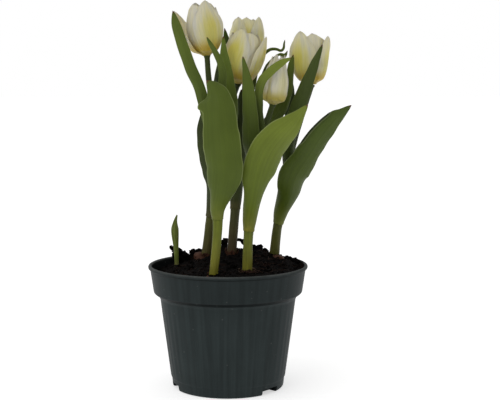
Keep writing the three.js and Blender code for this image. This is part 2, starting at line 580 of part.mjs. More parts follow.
function makeStem(route, bloom) {
  const spline = rowSpline(route);
  const [x, y] = route[0];
  const up = new THREE.Vector3(0, 0, 1);
  const nose = bulbPlace(route)[2];
  const stations = [{ point: new THREE.Vector3(x, y, nose - BULB.socket + GAP), tangent: up, radius: STEM.baseRadius - 0.2 }];
  const shoulder = 3;
  const node = firstNode(route);
  const heights = [route[0][2] + 1.5, (route[0][2] + node) / 2, node - 1.6];
  const top = stemPoint(route, route.at(-1)[2] - shoulder).z;
  for (let n = 1; n <= STEM.stations; n += 1) heights.push(lerp(node - 1.4, top, (n - 1) / (STEM.stations - 1)));
  heights.forEach((z, n) => {
    const s = stemDistance(route, z);
    stations.push({ point: vec(spline.at(s)), tangent: n === 0 ? up : tangentAt(spline, s), radius: stemRadius(route, z) });
  });
  const axis = bloomAxis(bloom);
  const seat = vec(route.at(-1));
  const along = (height, radius) => stations.push({ point: seat.clone().addScaledVector(axis, height), tangent: axis, radius });
  along(-1.2, RECEPTACLE.radius - 0.4);
  along(0, RECEPTACLE.radius);
  along(0.02, RECEPTACLE.neckRadius);
  along(RING.height + 2 * GAP, RECEPTACLE.neckRadius);
  along(RING.height + 2.5, PISTIL.ovaryRadius);
  along(0.8 * PISTIL.height, PISTIL.ovaryRadius - 0.5);
  along(0.88 * PISTIL.height, PISTIL.stigmaRadius);
  along(PISTIL.height, PISTIL.stigmaRadius - 0.9);
  return bar(stations, STEM.sides);
}

function makeShoot() {
  const spline = rowSpline(SHOOT.route.map((row, k) => [...row, SHOOT.radii[k]]));
  const stations = Array.from({ length: SHOOT.stations + 1 }, (_, n) => {
    const s = (spline.length * n) / SHOOT.stations;
    const row = spline.at(s);
    return { point: vec(row), tangent: tangentAt(spline, s), radius: row[3] };
  });
  return bar(stations, SHOOT.sides);
}

// ---------------------------------------------------------------------------
// Leaves
// ---------------------------------------------------------------------------

const leafColumns = ({ blade }) => (Math.max(...blade.map((row) => row[3])) > LEAF.broad ? LEAF.columns : LEAF.narrowColumns);

function leafRows({ stem, sheath, blade }, columns) {
  const route = STEMS[stem];
  const clasp = sheath.map(([z, wrap, turn, play]) => {
    const facet = Math.cos(rad(wrap) / columns / 2);
    const radius = (stemRadius(route, z) + GAP + play) / facet + LEAF.thickness / 2;
    const axis = stemPoint(route, z);
    const x = axis.x - radius * Math.cos(rad(turn));
    const y = axis.y - radius * Math.sin(rad(turn));
    return [x, y, z, radius * rad(wrap), turn, wrap, 0];
  });
  return [...clasp, ...blade.map((row) => (row.length === 7 ? row : [...row, 0]))];
}

function makeLeaf(leaf) {
  const { thickness } = LEAF;
  const stations = leaf.stations ?? LEAF.stations;
  const columns = leafColumns(leaf);
  const spline = rowSpline(leafRows(leaf, columns));
  const [waveHeight, crests, phase] = leaf.wave;
  const half = thickness / 2;
  const sections = [];
  for (let n = 0; n <= stations; n += 1) {
    const share = n / stations;
    const s = spline.length * share;
    const [x, y, z, width, turn, wrapDegrees, lift] = spline.at(s);
    const wrap = rad(wrapDegrees);
    const tangent = tangentAt(spline, s);
    const normal = new THREE.Vector3(Math.cos(rad(turn)) * Math.cos(rad(lift)), Math.sin(rad(turn)) * Math.cos(rad(lift)), Math.sin(rad(lift)));
    normal.addScaledVector(tangent, -normal.dot(tangent)).normalize();
    const side = new THREE.Vector3().crossVectors(tangent, normal);
    const radius = width / wrap;
    const centre = new THREE.Vector3(x, y, z).addScaledVector(normal, radius);
    const swell = waveHeight * Math.sin(Math.PI * share) * smooth(0.12, 0.4, share);
    const face = (offset) => Array.from({ length: columns + 1 }, (_, j) => {
      const across = (2 * j) / columns - 1;
      const angle = (across * wrap) / 2;
      const wave = swell * across ** 2 * Math.sin(2 * Math.PI * crests * share + phase + (across > 0 ? 1.3 : 0));
      const r = radius + offset + wave;
      return centre.clone().addScaledVector(normal, -r * Math.cos(angle)).addScaledVector(side, r * Math.sin(angle));
    });
    sections.push({ outer: face(half), inner: face(-half) });
  }
  return sheet(sections);
}

// ---------------------------------------------------------------------------
// Blooms
// ---------------------------------------------------------------------------

function makeBloom(bloom) {
  const base = vec(STEMS[bloom.stem].at(-1));
  const axis = bloomAxis(bloom);
  const height = vec(bloom.top).distanceTo(base);
  const aside = new THREE.Vector3(0, 1, 0).addScaledVector(axis, -axis.y).normalize();
  const along = new THREE.Vector3().crossVectors(aside, axis);
  const place = (radius, azimuth, up) => base.clone()
    .addScaledVector(axis, up).addScaledVector(along, radius * Math.cos(azimuth)).addScaledVector(aside, radius * Math.sin(azimuth));

  const profile = bloom.closed ? CUP.budRadius : CUP.openRadius;
  const petal = (index) => {
    const [tall, lean, wide, twist, bulge] = bloom.petals[index];
    const outer = index >= 3;
    const azimuth = rad(bloom.turn + (index % 3) * 120 + (outer ? 60 : 0));
    const sections = [];
    for (const t of PETAL.stations) {
      const closing = lerp(1, bloom.mouth / (profile.at(-1) * bloom.girth), smooth(0.5, 1, t));
      const open = interpolate(CUP.height, profile, t) * bloom.girth * closing;
      const start = outer ? RING.outer - 0.85 : RING.bore + 0.6;
      const grow = smooth(0, 0.1, t);
      const radius = lerp(start, open + (outer ? 0 : -PETAL.whorlGap), grow) + lean * t ** 1.6 + bulge * Math.sin(Math.PI * t);
      const half = interpolate(CUP.height, outer ? CUP.outerSpread : CUP.innerSpread, t);
      const spread = rad(half) * lerp(1, wide, smooth(0, 0.4, t));
      const up = GAP + 0.4 + (height * tall - GAP - 0.4) * t;
      const drop = CUP.crown * height * smooth(0.35, 1, t);
      const face = (offset) => Array.from({ length: PETAL.columns + 1 }, (_, j) => {
        const across = (2 * j) / PETAL.columns - 1;
        return place(radius + offset, azimuth + rad(twist) * t + across * spread, up - drop * across ** 2);
      });
      sections.push({ outer: face(PETAL.thickness / 2), inner: face(-PETAL.thickness / 2) });
    }
    return toSolid(sheet(sections));
  };

  const { outer, bore, height: tall, sides } = RING;
  const ring = toGeometry(turned([[bore, GAP], [outer - 1.2, GAP], [outer, GAP + 1], [outer, GAP + tall], [bore, GAP + tall], [bore, GAP]], sides));
  ring.rotateZ(rad(bloom.turn + 11));
  ring.applyMatrix4(new THREE.Matrix4().makeBasis(along, aside, axis));
  ring.translate(base.x, base.y, base.z);
  let solid = toSolid(ring);
  for (let index = 0; index < 6; index += 1) solid = solid.add(petal(index));
  return toGeometry(solid);
}

// ---------------------------------------------------------------------------
// Assembly
// ---------------------------------------------------------------------------

const tulips = new THREE.Group();
tulips.name = 'potted_tulips';

function add(name, geometry, material) {
  const mesh = new THREE.Mesh(geometry, material);
  mesh.name = name;
  tulips.add(mesh);
}

add('pot', makePot(), FINISH.pot);
add('soil', makeSoil([...Object.values(STEMS).map(bulbPocket), shootPocket()]), FINISH.soil);

for (const [name, route] of Object.entries(STEMS)) {
  const bloom = Object.values(BLOOMS).find((b) => b.stem === name);
  add(`bulb_${name}`, makeBulb(route), FINISH.bulb);
  add(`stem_${name}`, makeStem(route, bloom), name === 'c' ? FINISH.stemDark : FINISH.stem);
}

const LEAF_FINISH = { leaf_d1: FINISH.leafBright, leaf_b1: FINISH.leaf, leaf_e1: FINISH.leaf };
for (const [name, leaf] of Object.entries(LEAVES)) {
  add(name, makeLeaf(leaf), LEAF_FINISH[name] ?? FINISH.leafDark);
}

for (const [name, bloom] of Object.entries(BLOOMS)) {
  add(name, makeBloom(bloom), name === 'bud_d' ? FINISH.bud : FINISH.petal);
}

add('shoot', makeShoot(), FINISH.leafBright);

export default tulips;
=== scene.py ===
"""Potted tulips: five flowering bulbs and a young shoot in a round nursery pot.

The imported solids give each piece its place. Every piece here stands for one of them, or lies on one,
with a finer form and its finish. Sizes are in millimetres and become metres as a piece is made; angles
are in degrees.
"""

from __future__ import annotations

import logging
import random
from dataclasses import dataclass
from enum import Enum
from functools import cached_property
from math import atan2, copysign, cos, dist, exp, hypot, pi, radians, sin, sqrt, tau
from typing import Callable, NamedTuple, Sequence, Union

import bmesh
import bpy
from bmesh.types import BMesh, BMVert
from bpy.types import Node, NodeSocket, NodeTree, Object
from mathutils import Matrix, Vector, noise


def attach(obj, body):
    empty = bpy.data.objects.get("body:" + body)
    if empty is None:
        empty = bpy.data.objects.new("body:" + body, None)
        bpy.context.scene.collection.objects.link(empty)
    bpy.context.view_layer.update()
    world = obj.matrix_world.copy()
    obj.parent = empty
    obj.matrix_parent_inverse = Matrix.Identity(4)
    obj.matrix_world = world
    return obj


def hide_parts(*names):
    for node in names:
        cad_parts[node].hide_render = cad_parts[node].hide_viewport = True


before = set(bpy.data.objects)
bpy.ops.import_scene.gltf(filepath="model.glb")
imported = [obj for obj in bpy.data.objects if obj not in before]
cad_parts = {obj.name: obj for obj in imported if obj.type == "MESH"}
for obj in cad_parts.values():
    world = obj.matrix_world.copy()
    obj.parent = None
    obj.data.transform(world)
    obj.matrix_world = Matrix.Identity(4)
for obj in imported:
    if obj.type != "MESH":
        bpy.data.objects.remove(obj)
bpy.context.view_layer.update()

LOG = logging.getLogger("tulips")
BODY = "root"

MM = 0.001  # metres in a millimetre
GAP = 0.3  # clearance between pieces that touch
MERGE = 0.002  # points nearer than this become one
MARKS = ("across", "along", "side", "tint")

Pair = tuple[float, float]
Triple = tuple[float, float, float]  # a colour, or x, y and z
Rows = Sequence[Sequence[float]]
Socket = Union[NodeSocket, float, tuple]
Look = dict[str, Socket]


# ---- Numbers ----


def lerp(a: float, b: float, t: float) -> float:
    """Goes straight from a to b as t goes from 0 to 1."""
    return a + (b - a) * t


def smooth(low: float, high: float, value: float) -> float:
    """Rises smoothly from 0 at low to 1 at high."""
    t = min(max((value - low) / (high - low), 0.0), 1.0)
    return t * t * (3 - 2 * t)


def bell(value: float, width: float) -> float:
    """Falls off smoothly from 1 at zero on both sides."""
    return exp(-((value / width) ** 2))


def polar(radius: float, azimuth: float) -> Pair:
    """The x and y of a radius at an azimuth in degrees."""
    return radius * cos(radians(azimuth)), radius * sin(radians(azimuth))


class RowSpline:
    """Rows of numbers made smooth in every column, by distance along their first three."""

    def __init__(self, rows: Rows) -> None:
        """Measures the way from row to row and the slope at each."""
        self.rows = rows
        self.knots = [0.0]
        for before, after in zip(rows, rows[1:]):
            self.knots.append(self.knots[-1] + dist(before[:3], after[:3]))
        last = len(rows) - 1
        self.slopes = []
        for k in range(len(rows)):
            low, high = max(k - 1, 0), min(k + 1, last)
            span = self.knots[high] - self.knots[low]
            self.slopes.append([(b - a) / span for a, b in zip(rows[low], rows[high])])

    @property
    def length(self) -> float:
        """The distance from the first row to the last."""
        return self.knots[-1]

    def at(self, distance: float) -> list[float]:
        """The row at a distance.

        Args:
            distance: how far along the rows, held between their ends.

        Returns:
            One number for each column.
        """
        s = min(max(distance, 0.0), self.length)
        k = 0
        while k < len(self.knots) - 2 and s > self.knots[k + 1]:
            k += 1
        span = self.knots[k + 1] - self.knots[k]
        t = (s - self.knots[k]) / span
        h0, h1 = 2 * t**3 - 3 * t**2 + 1, (t**3 - 2 * t**2 + t) * span
        h2, h3 = -2 * t**3 + 3 * t**2, (t**3 - t**2) * span
        columns = zip(self.rows[k], self.slopes[k], self.rows[k + 1], self.slopes[k + 1])
        return [h0 * a + h1 * da + h2 * b + h3 * db for a, da, b, db in columns]

    def point(self, distance: float) -> Vector:
        """The point at a distance."""
        return Vector(self.at(distance)[:3])

    def tangent(self, distance: float) -> Vector:
        """The direction of travel at a distance."""
        step = 0.5
        ahead, behind = min(distance + step, self.length), max(distance - step, 0.0)
        return (self.point(ahead) - self.point(behind)).normalized()

    def reach(self, height: float) -> float:
        """The distance at which rising rows come to a height."""
        low, high = 0.0, self.length
        for _ in range(30):
            middle = (low + high) / 2
            if self.at(middle)[2] < height:
                low = middle
            else:
                high = middle
        return low


class Profile:
    """A smooth curve through (place, value) pairs in rising order of place."""

    def __init__(self, *pairs: Pair) -> None:
        """Keeps the pairs and works out a slope at each that never overshoots."""
        self.places = [p for p, _ in pairs]
        self.values = [v for _, v in pairs]
        rises = [(v1 - v0) / (p1 - p0) for (p0, v0), (p1, v1) in zip(pairs, pairs[1:])]
        inner = [0.0 if a * b <= 0 else 2 * a * b / (a + b) for a, b in zip(rises, rises[1:])]
        self.slopes = [rises[0], *inner, rises[-1]]

    def __call__(self, place: float) -> float:
        """The value at a place, held at both ends."""
        if place <= self.places[0]:
            return self.values[0]
        if place >= self.places[-1]:
            return self.values[-1]
        k = 0
        while place > self.places[k + 1]:
            k += 1
        span = self.places[k + 1] - self.places[k]
        t = (place - self.places[k]) / span
        return (
            (2 * t**3 - 3 * t**2 + 1) * self.values[k]
            + (t**3 - 2 * t**2 + t) * span * self.slopes[k]
            + (3 * t**2 - 2 * t**3) * self.values[k + 1]
            + (t**3 - t**2) * span * self.slopes[k + 1]
        )


# ---- Meshes ----


class Placed(NamedTuple):
    """A point of a skin and its marks, which its finish reads."""

    point: Vector
    across: float = 0.0  # -1 and 1 at the margins, or how far round a bar
    along: float = 0.0  # 0 at the foot, 1 at the tip
    side: float = 0.0  # 1 on the outer face, -1 on the inner one
    tint: float = 0.0  # differs from one copy of a piece to the next


Section = Callable[[float], Placed]


def new_mesh() -> BMesh:
    """An empty mesh whose points can hold the marks."""
    bm = bmesh.new()
    for name in MARKS:
        bm.verts.layers.float.new(name)
    return bm


def loft(
    bm: BMesh,
    columns: int,
    rows: int,
    section_at: Callable[[float], Section],
    crowd: float = 0.6,
) -> None:
    """Bends a flat grid into a closed skin.

    Args:
        bm: the mesh that the skin is added to.
        columns: faces round the skin.
        rows: faces along it.
        section_at: gives the section at a share of the way along; a section gives the place at a turn
            from 0 to 1. The first and last sections close on themselves.
        crowd: how much closer together the sections lie at both ends, from 0 to 1.
    """
    made = bmesh.ops.create_grid(bm, x_segments=columns, y_segments=rows, size=1.0)
    sections = []
    for row in range(rows + 1):
        even = row / rows
        sections.append(section_at(lerp(even, 0.5 - 0.5 * cos(pi * even), crowd)))
    layers = [bm.verts.layers.float[name] for name in MARKS]
    for vert in made["verts"]:
        turn = (vert.co.x + 1) / 2
        placed = sections[round((vert.co.y + 1) / 2 * rows)](turn)
        vert.co = placed.point
        for layer, mark in zip(layers, placed[1:]):
            vert[layer] = mark
    bmesh.ops.remove_doubles(bm, verts=made["verts"], dist=MERGE)


def bar_section(
    point: Vector,
    tangent: Vector,
    radius: float,
    along: float,
    ribs: float = 0.0,
    lobes: int = 3,
    tint: float = 0.0,
) -> Section:
    """A round or lobed section square to a line.

    Args:
        point: the section's centre.
        tangent: the direction of the line.
        radius: the section's mean radius.
        along: its mark.
        ribs: how far lobes stand out, as a share of the radius.
        lobes: how many lobes there are.
        tint: its mark.

    Returns:
        The section.
    """
    side = Vector((1, 0, 0))
    if abs(tangent.x) > 0.9:
        side = Vector((0, 1, 0))
    side = (side - tangent * side.dot(tangent)).normalized()
    front = tangent.cross(side)

    def section(turn: float) -> Placed:
        """The place at a turn."""
        angle = tau * turn
        r = radius * (1 + ribs * cos(lobes * angle))
        place = point + side * (r * cos(angle)) + front * (r * sin(angle))
        return Placed(place, turn, along, 0.0, tint)

    return section


def sheet_place(turn: float) -> Pair:
    """How far across a sheet and to which face of it a turn leads, each from -1 to 1."""
    return -cos(tau * turn), sin(tau * turn)


def end_cap(share: float, foot: float, tip: float) -> float:
    """Rounds both ends of a skin off.

    Args:
        share: the place along the skin.
        foot: the share of the way over which the foot closes.
        tip: the share of the way over which the tip closes.

    Returns:
        A factor that is 0 at both ends and 1 between them.
    """
    factor = 1.0
    if share < foot:
        factor *= sqrt(max(1 - (1 - share / foot) ** 2, 0.0))
    if share > 1 - tip:
        factor *= sqrt(max(1 - ((share - 1 + tip) / tip) ** 2, 0.0))
    return factor


def stand(name: str, data: bpy.types.ID | None) -> Object:
    """An object of some data that stands in the scene."""
    made = bpy.data.objects.new(name, data)
    bpy.context.scene.collection.objects.link(made)
    return made


def add_piece(
    name: str, bm: BMesh, finish: Finish, replaced: Sequence[str] = (), soft: bool = True
) -> Object:
    """Makes a piece of a mesh in millimetres and lets it ride on the pot's body.

    Args:
        name: the piece's name.
        bm: its mesh, which is used up.
        finish: its surface.
        replaced: the solids that it stands for.
        soft: whether its faces are shaded as one smooth surface.

    Returns:
        The piece.
    """
    bmesh.ops.recalc_face_normals(bm, faces=bm.faces)
    bmesh.ops.scale(bm, vec=Vector((MM, MM, MM)), verts=bm.verts)
    for face in bm.faces:
        face.smooth = soft
    mesh = bpy.data.meshes.new(name)
    bm.to_mesh(mesh)
    bm.free()
    mesh.materials.append(finish.material())
    piece = stand(name, mesh)
    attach(piece, BODY)
    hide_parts(*replaced)
    LOG.info("%s: %d faces", name, len(mesh.polygons))
    return piece


# ---- Finishes ----


class Graph:
    """Adds nodes to the tree of a material or a node group."""

    def __init__(self, tree: NodeTree) -> None:
        """Keeps the tree."""
        self.tree = tree

    def feed(self, target: NodeSocket, value: Socket) -> None:
        """Wires a socket to an input, or sets the input to a number or colour."""
        if isinstance(value, NodeSocket):
            self.tree.links.new(value, target)
        elif isinstance(value, tuple) and len(value) == 3 and target.type == "RGBA":
            target.default_value = (*value, 1.0)
        else:
            target.default_value = value

    def plug(self, node: Node, inputs: dict[str, Socket]) -> Node:
        """Wires or sets a node's inputs by name, and gives the node back."""
        for name, value in inputs.items():
            self.feed(node.inputs[name.replace("_", " ")], value)
        return node

    def node(self, kind: str, **inputs: Socket) -> Node:
        """A node of a kind. In the names of its inputs an underscore stands for a space."""
        return self.plug(self.tree.nodes.new(kind), inputs)

    def applied(self, kind: str, operation: str, *values: Socket) -> NodeSocket:
        """What an operation makes of some values, in a node of a kind."""
        made = self.node(kind)
        made.operation = operation
        for target, value in zip(made.inputs, values):
            self.feed(target, value)
        return made.outputs["Value"]

    def math(self, operation: str, *values: Socket) -> NodeSocket:
        """The result of a sum on one, two or three values."""
        return self.applied("ShaderNodeMath", operation, *values)

    def product(self, first: Socket, *others: Socket) -> NodeSocket:
        """Two or more factors multiplied."""
        for other in others:
            first = self.math("MULTIPLY", first, other)
        return first

    def mark(self, name: str) -> NodeSocket:
        """One of the marks on the points."""
        made = self.node("ShaderNodeAttribute")
        made.attribute_name = name
        return made.outputs["Fac"]

    def place(self) -> NodeSocket:
        """The object coordinates."""
        return self.node("ShaderNodeTexCoord").outputs["Object"]

    def axis(self, vector: Socket, name: str) -> NodeSocket:
        """One axis of a vector, by its letter."""
        return self.node("ShaderNodeSeparateXYZ", Vector=vector).outputs[name]

    def vector(self, x: Socket, y: Socket, z: Socket = 0.0) -> NodeSocket:
        """A vector of three values."""
        return self.node("ShaderNodeCombineXYZ", X=x, Y=y, Z=z).outputs[0]

    def fade(
        self, value: Socket, low: float, high: float, start: float = 0.0, end: float = 1.0
    ) -> NodeSocket:
        """Goes smoothly from start at low to end at high."""
        made = self.node(
            "ShaderNodeMapRange", Value=value, From_Min=low, From_Max=high, To_Min=start, To_Max=end
        )
        made.interpolation_type = "SMOOTHSTEP"
        return made.outputs["Result"]

    def mix(self, share: Socket, first: Socket, second: Socket) -> NodeSocket:
        """Two colours mixed by a share of the second."""
        made = self.node("ShaderNodeMix")
        made.data_type = "RGBA"
        for target, value in zip((made.inputs[0], made.inputs[6], made.inputs[7]), (share, first, second)):
            self.feed(target, value)
        return made.outputs[2]

    def shade(self, colour: Socket, factor: Socket) -> NodeSocket:
        """A colour made darker or lighter by a factor."""
        made = self.node("ShaderNodeVectorMath")
        made.operation = "SCALE"
        self.feed(made.inputs[0], colour)
        self.feed(made.inputs["Scale"], factor)
        return made.outputs[0]

    def noise(
        self, vector: Socket, scale: Socket, detail: float = 3.0, roughness: float = 0.55
    ) -> NodeSocket:
        """Cloudy noise about 0.5."""
        inputs = {"Vector": vector, "Scale": scale, "Detail": detail, "Roughness": roughness}
        return self.node("ShaderNodeTexNoise", **inputs).outputs["Fac"]

    def bump(self, height: Socket, depth: float, **below: Socket) -> NodeSocket:
        """The normal over a height that is worth so many metres, on top of the normal below it."""
        return self.node("ShaderNodeBump", Height=height, Distance=depth, Strength=1.0, **below).outputs[0]

    def use(self, group: NodeTree, **inputs: Socket) -> Sequence[NodeSocket]:
        """Places a shared effect and gives its results."""
        made = self.node("ShaderNodeGroup")
        made.node_tree = group
        return self.plug(made, inputs).outputs

    def veins(self, count: float, stretch: float) -> Sequence[NodeSocket]:
        """The lines and the wide streaks of the shared veins, so many across, drawn out along the piece."""
        return self.use(
            EFFECTS.veins, Across=self.mark("across"), Along=self.mark("along"), Count=count, Stretch=stretch,
            Shift=self.mark("tint"),
        )

    def mottle(self, scale: float, depth: float) -> NodeSocket:
        """The shared patches of tone, as a factor about 1."""
        return self.use(EFFECTS.mottle, Scale=scale, Depth=depth)[0]

    def specks(self, scale: float, size: float, share: float) -> NodeSocket:
        """The mask of the shared spots."""
        return self.use(EFFECTS.specks, Scale=scale, Size=size, Share=share)[0]


class Effects:
    """The effects that several finishes share, each a node group that is built once."""

    def group(self, name: str, inputs: dict[str, float], outputs: Sequence[str]) -> tuple[Graph, list, list]:
        """Starts a shader node group.

        Args:
            name: the group's name.
            inputs: the names of its inputs and what each is by default.
            outputs: the names of its outputs, all numbers.

        Returns:
            A graph to fill it with, its inputs and its outputs.
        """
        tree = bpy.data.node_groups.new(name, "ShaderNodeTree")
        for label, value in inputs.items():
            made = tree.interface.new_socket(label, in_out="INPUT", socket_type="NodeSocketFloat")
            made.default_value = value
        for label in outputs:
            tree.interface.new_socket(label, in_out="OUTPUT", socket_type="NodeSocketFloat")
        given = tree.nodes.new("NodeGroupInput").outputs[: len(inputs)]
        return Graph(tree), given, tree.nodes.new("NodeGroupOutput").inputs[: len(outputs)]

    @cached_property
    def veins(self) -> NodeTree:
        """Fine lines that run from foot to tip and draw together where the piece narrows."""
        inputs = {"Across": 0.0, "Along": 0.0, "Count": 40.0, "Stretch": 2.0, "Shift": 0.0}
        graph, (across, along, count, stretch, shift), (lines, streaks) = self.group(
            "parallel veins", inputs, ("Lines", "Streaks")
        )
        place = graph.vector(graph.product(across, count), graph.product(along, stretch), shift)
        graph.feed(lines, graph.fade(graph.noise(place, 1.0, 2.0), 0.32, 0.68))
        graph.feed(streaks, graph.fade(graph.noise(place, 0.22, 2.0), 0.3, 0.7))
        return graph.tree

    @cached_property
    def mottle(self) -> NodeTree:
        """Soft patches of lighter and darker tone, as a factor about 1."""
        graph, (scale, depth), (factor,) = self.group("mottle", {"Scale": 60.0, "Depth": 0.2}, ("Factor",))
        cloud = graph.noise(graph.place(), scale, 4.0)
        swing = graph.product(graph.math("SUBTRACT", cloud, 0.5), depth)
        graph.feed(factor, graph.math("MULTIPLY_ADD", swing, 2.0, 1.0))
        return graph.tree

    @cached_property
    def specks(self) -> NodeTree:
        """Small separate spots."""
        inputs = {"Scale": 400.0, "Size": 0.2, "Share": 0.3}
        graph, (scale, size, share), (mask,) = self.group("specks", inputs, ("Mask",))
        cells = graph.node("ShaderNodeTexVoronoi", Vector=graph.place(), Scale=scale).outputs
        near = graph.math("LESS_THAN", cells["Distance"], size)
        chosen = graph.math("LESS_THAN", graph.axis(cells["Color"], "X"), share)
        graph.feed(mask, graph.product(near, chosen))
        return graph.tree


EFFECTS = Effects()


@dataclass(frozen=True)
class Finish:
    """A surface: the name of its material and of the record's slot."""

    name: str
    slot: str

    def material(self) -> bpy.types.Material:
        """The surface's material, made at its first use."""
        made = bpy.data.materials.get(self.name)
        if made is None:
            made = bpy.data.materials.new(self.name)
            made.use_nodes = True
            graph = Graph(made.node_tree)
            graph.plug(made.node_tree.nodes["Principled BSDF"], self.look(graph))
        return made

    def look(self, graph: Graph) -> Look:
        """What each input of the shader gets.

        Args:
            graph: the material's nodes.

        Returns:
            A socket, a number or a colour for each input, by its name.
        """
        raise NotImplementedError


@dataclass(frozen=True)
class Plastic(Finish):
    """Moulded plastic: satin, with faint flow streaks down the wall and dust specks; painted shade darkens
    the inner wall and the collar, and a painted highlight, worn in patches, runs along the lip.
    """

    colour: Triple = (0.0222, 0.0292, 0.0294)
    # the colour of the dust specks and of the painted highlight on the lip
    dust_and_highlight: Triple = (0.085, 0.090, 0.086)
    lip: Pair = (0.0992, 0.1008)  # the lip's worn edge, also painted lighter as a highlight, in metres above the foot
    collar: Pair = (0.076, 0.078)  # where the body ends and the smoother collar, painted darker as shade, begins

    def look(self, graph: Graph) -> Look:
        """What each input of the shader gets."""
        place = graph.place()
        height = graph.axis(place, "Z")
        azimuth = graph.math("ARCTAN2", graph.axis(place, "Y"), graph.axis(place, "X"))
        flow = graph.noise(graph.vector(graph.product(azimuth, 14.0), graph.product(height, 9.0)), 1.0)
        normal = graph.node("ShaderNodeNewGeometry").outputs["Normal"]
        outward = graph.applied("ShaderNodeVectorMath", "DOT_PRODUCT", normal, place)
        # Painted shade: faces turned in towards the pot's axis, such as the inner wall, are painted darker,
        # down to 0.35.
        painted_inner_shade = graph.fade(outward, -0.01, 0.01, 0.35, 1.0)
        # Painted shade: the collar is painted darker than the body, to 0.8.
        collar = graph.fade(height, *self.collar, 1.0, 0.8)
        tone = graph.product(graph.mottle(30.0, 0.25), painted_inner_shade, collar, graph.fade(flow, 0.3, 0.7, 0.85, 1.2))
        # The lip's top edge takes the dust colour in patches: partly wear, partly a painted highlight along
        # the rim.
        lip_patchiness = graph.fade(graph.noise(place, 45.0, 5.0), 0.3, 0.6, 0.45, 1.0)
        lip_wear_and_highlight = graph.product(graph.fade(height, *self.lip), lip_patchiness, 0.65)
        specks_and_lip_highlight = graph.math("MAXIMUM", graph.product(graph.specks(260.0, 0.16, 0.12), 0.35), lip_wear_and_highlight)
        grain = graph.noise(place, 1800.0, 2.0)
        return {
            "Base Color": graph.mix(specks_and_lip_highlight, graph.shade(self.colour, tone), self.dust_and_highlight),
            "Roughness": graph.fade(flow, 0.25, 0.75, 0.44, 0.54),
            "Specular IOR Level": 0.05,
            "Normal": graph.bump(grain, 0.00003, Normal=graph.bump(flow, 0.00012)),
        }


@dataclass(frozen=True)
class Peat(Finish):
    """Moist peat: almost black, with brown crumbs and reddish fibres."""

    dark: Triple = (0.0016, 0.0013, 0.0012)
    brown: Triple = (0.0062, 0.0036, 0.0026)
    red: Triple = (0.026, 0.010, 0.006)

    def look(self, graph: Graph) -> Look:
        """What each input of the shader gets."""
        place = graph.place()
        clumps = graph.noise(place, 190.0, 6.0, 0.65)
        colour = graph.mix(graph.fade(clumps, 0.42, 0.72), self.dark, self.brown)
        reddish = graph.product(graph.fade(graph.noise(place, 38.0), 0.5, 0.68), graph.fade(clumps, 0.5, 0.7))
        return {
            "Base Color": graph.mix(reddish, colour, self.red), "Roughness": 0.95, "Specular IOR Level": 0.06,
            "Normal": graph.bump(clumps, 0.0012),
        }


@dataclass(frozen=True)
class Papery(Finish):
    """A dry bulb skin or a fibre: red-brown, veined and half glossy."""

    dark: Triple = (0.024, 0.009, 0.005)
    light: Triple = (0.080, 0.031, 0.016)

    def look(self, graph: Graph) -> Look:
        """What each input of the shader gets."""
        lines, streaks = graph.veins(18.0, 1.5)
        streaked = graph.mix(streaks, self.dark, self.light)
        return {
            "Base Color": graph.shade(streaked, graph.mottle(140.0, 0.4)), "Roughness": 0.65,
            "Specular IOR Level": 0.15, "Normal": graph.bump(lines, 0.0001),
        }


@dataclass(frozen=True)
class Skin(Finish):
    """The skin of a stem: waxy, finely lined, and paler towards the foot."""

    foot: Triple = (0.085, 0.088, 0.011)
    middle: Triple = (0.064, 0.072, 0.010)
    top: Triple = (0.034, 0.047, 0.009)
    blush: Triple = (0.050, 0.026, 0.012)
    blushed: float = 0.25  # how much of the foot is brown

    def look(self, graph: Graph) -> Look:
        """What each input of the shader gets."""
        along = graph.mark("along")
        lines, streaks = graph.veins(26.0, 5.0)
        low = graph.mix(graph.fade(along, 0.02, 0.28), self.foot, self.middle)
        body = graph.mix(graph.fade(along, 0.3, 0.75), low, self.top)
        stain = graph.product(graph.fade(along, 0.3, 0.0, 0.0, self.blushed), streaks)
        stained = graph.mix(stain, body, self.blush)
        marked = graph.mix(graph.product(graph.specks(130.0, 0.11, 0.16), 0.6), stained, self.blush)
        tone = graph.product(graph.mottle(90.0, 0.25), graph.fade(lines, 0.0, 1.0, 0.9, 1.1))
        return {
            "Base Color": graph.shade(marked, tone), "Roughness": 0.5, "Specular IOR Level": 0.2,
            "Normal": graph.bump(lines, 0.00006),
        }


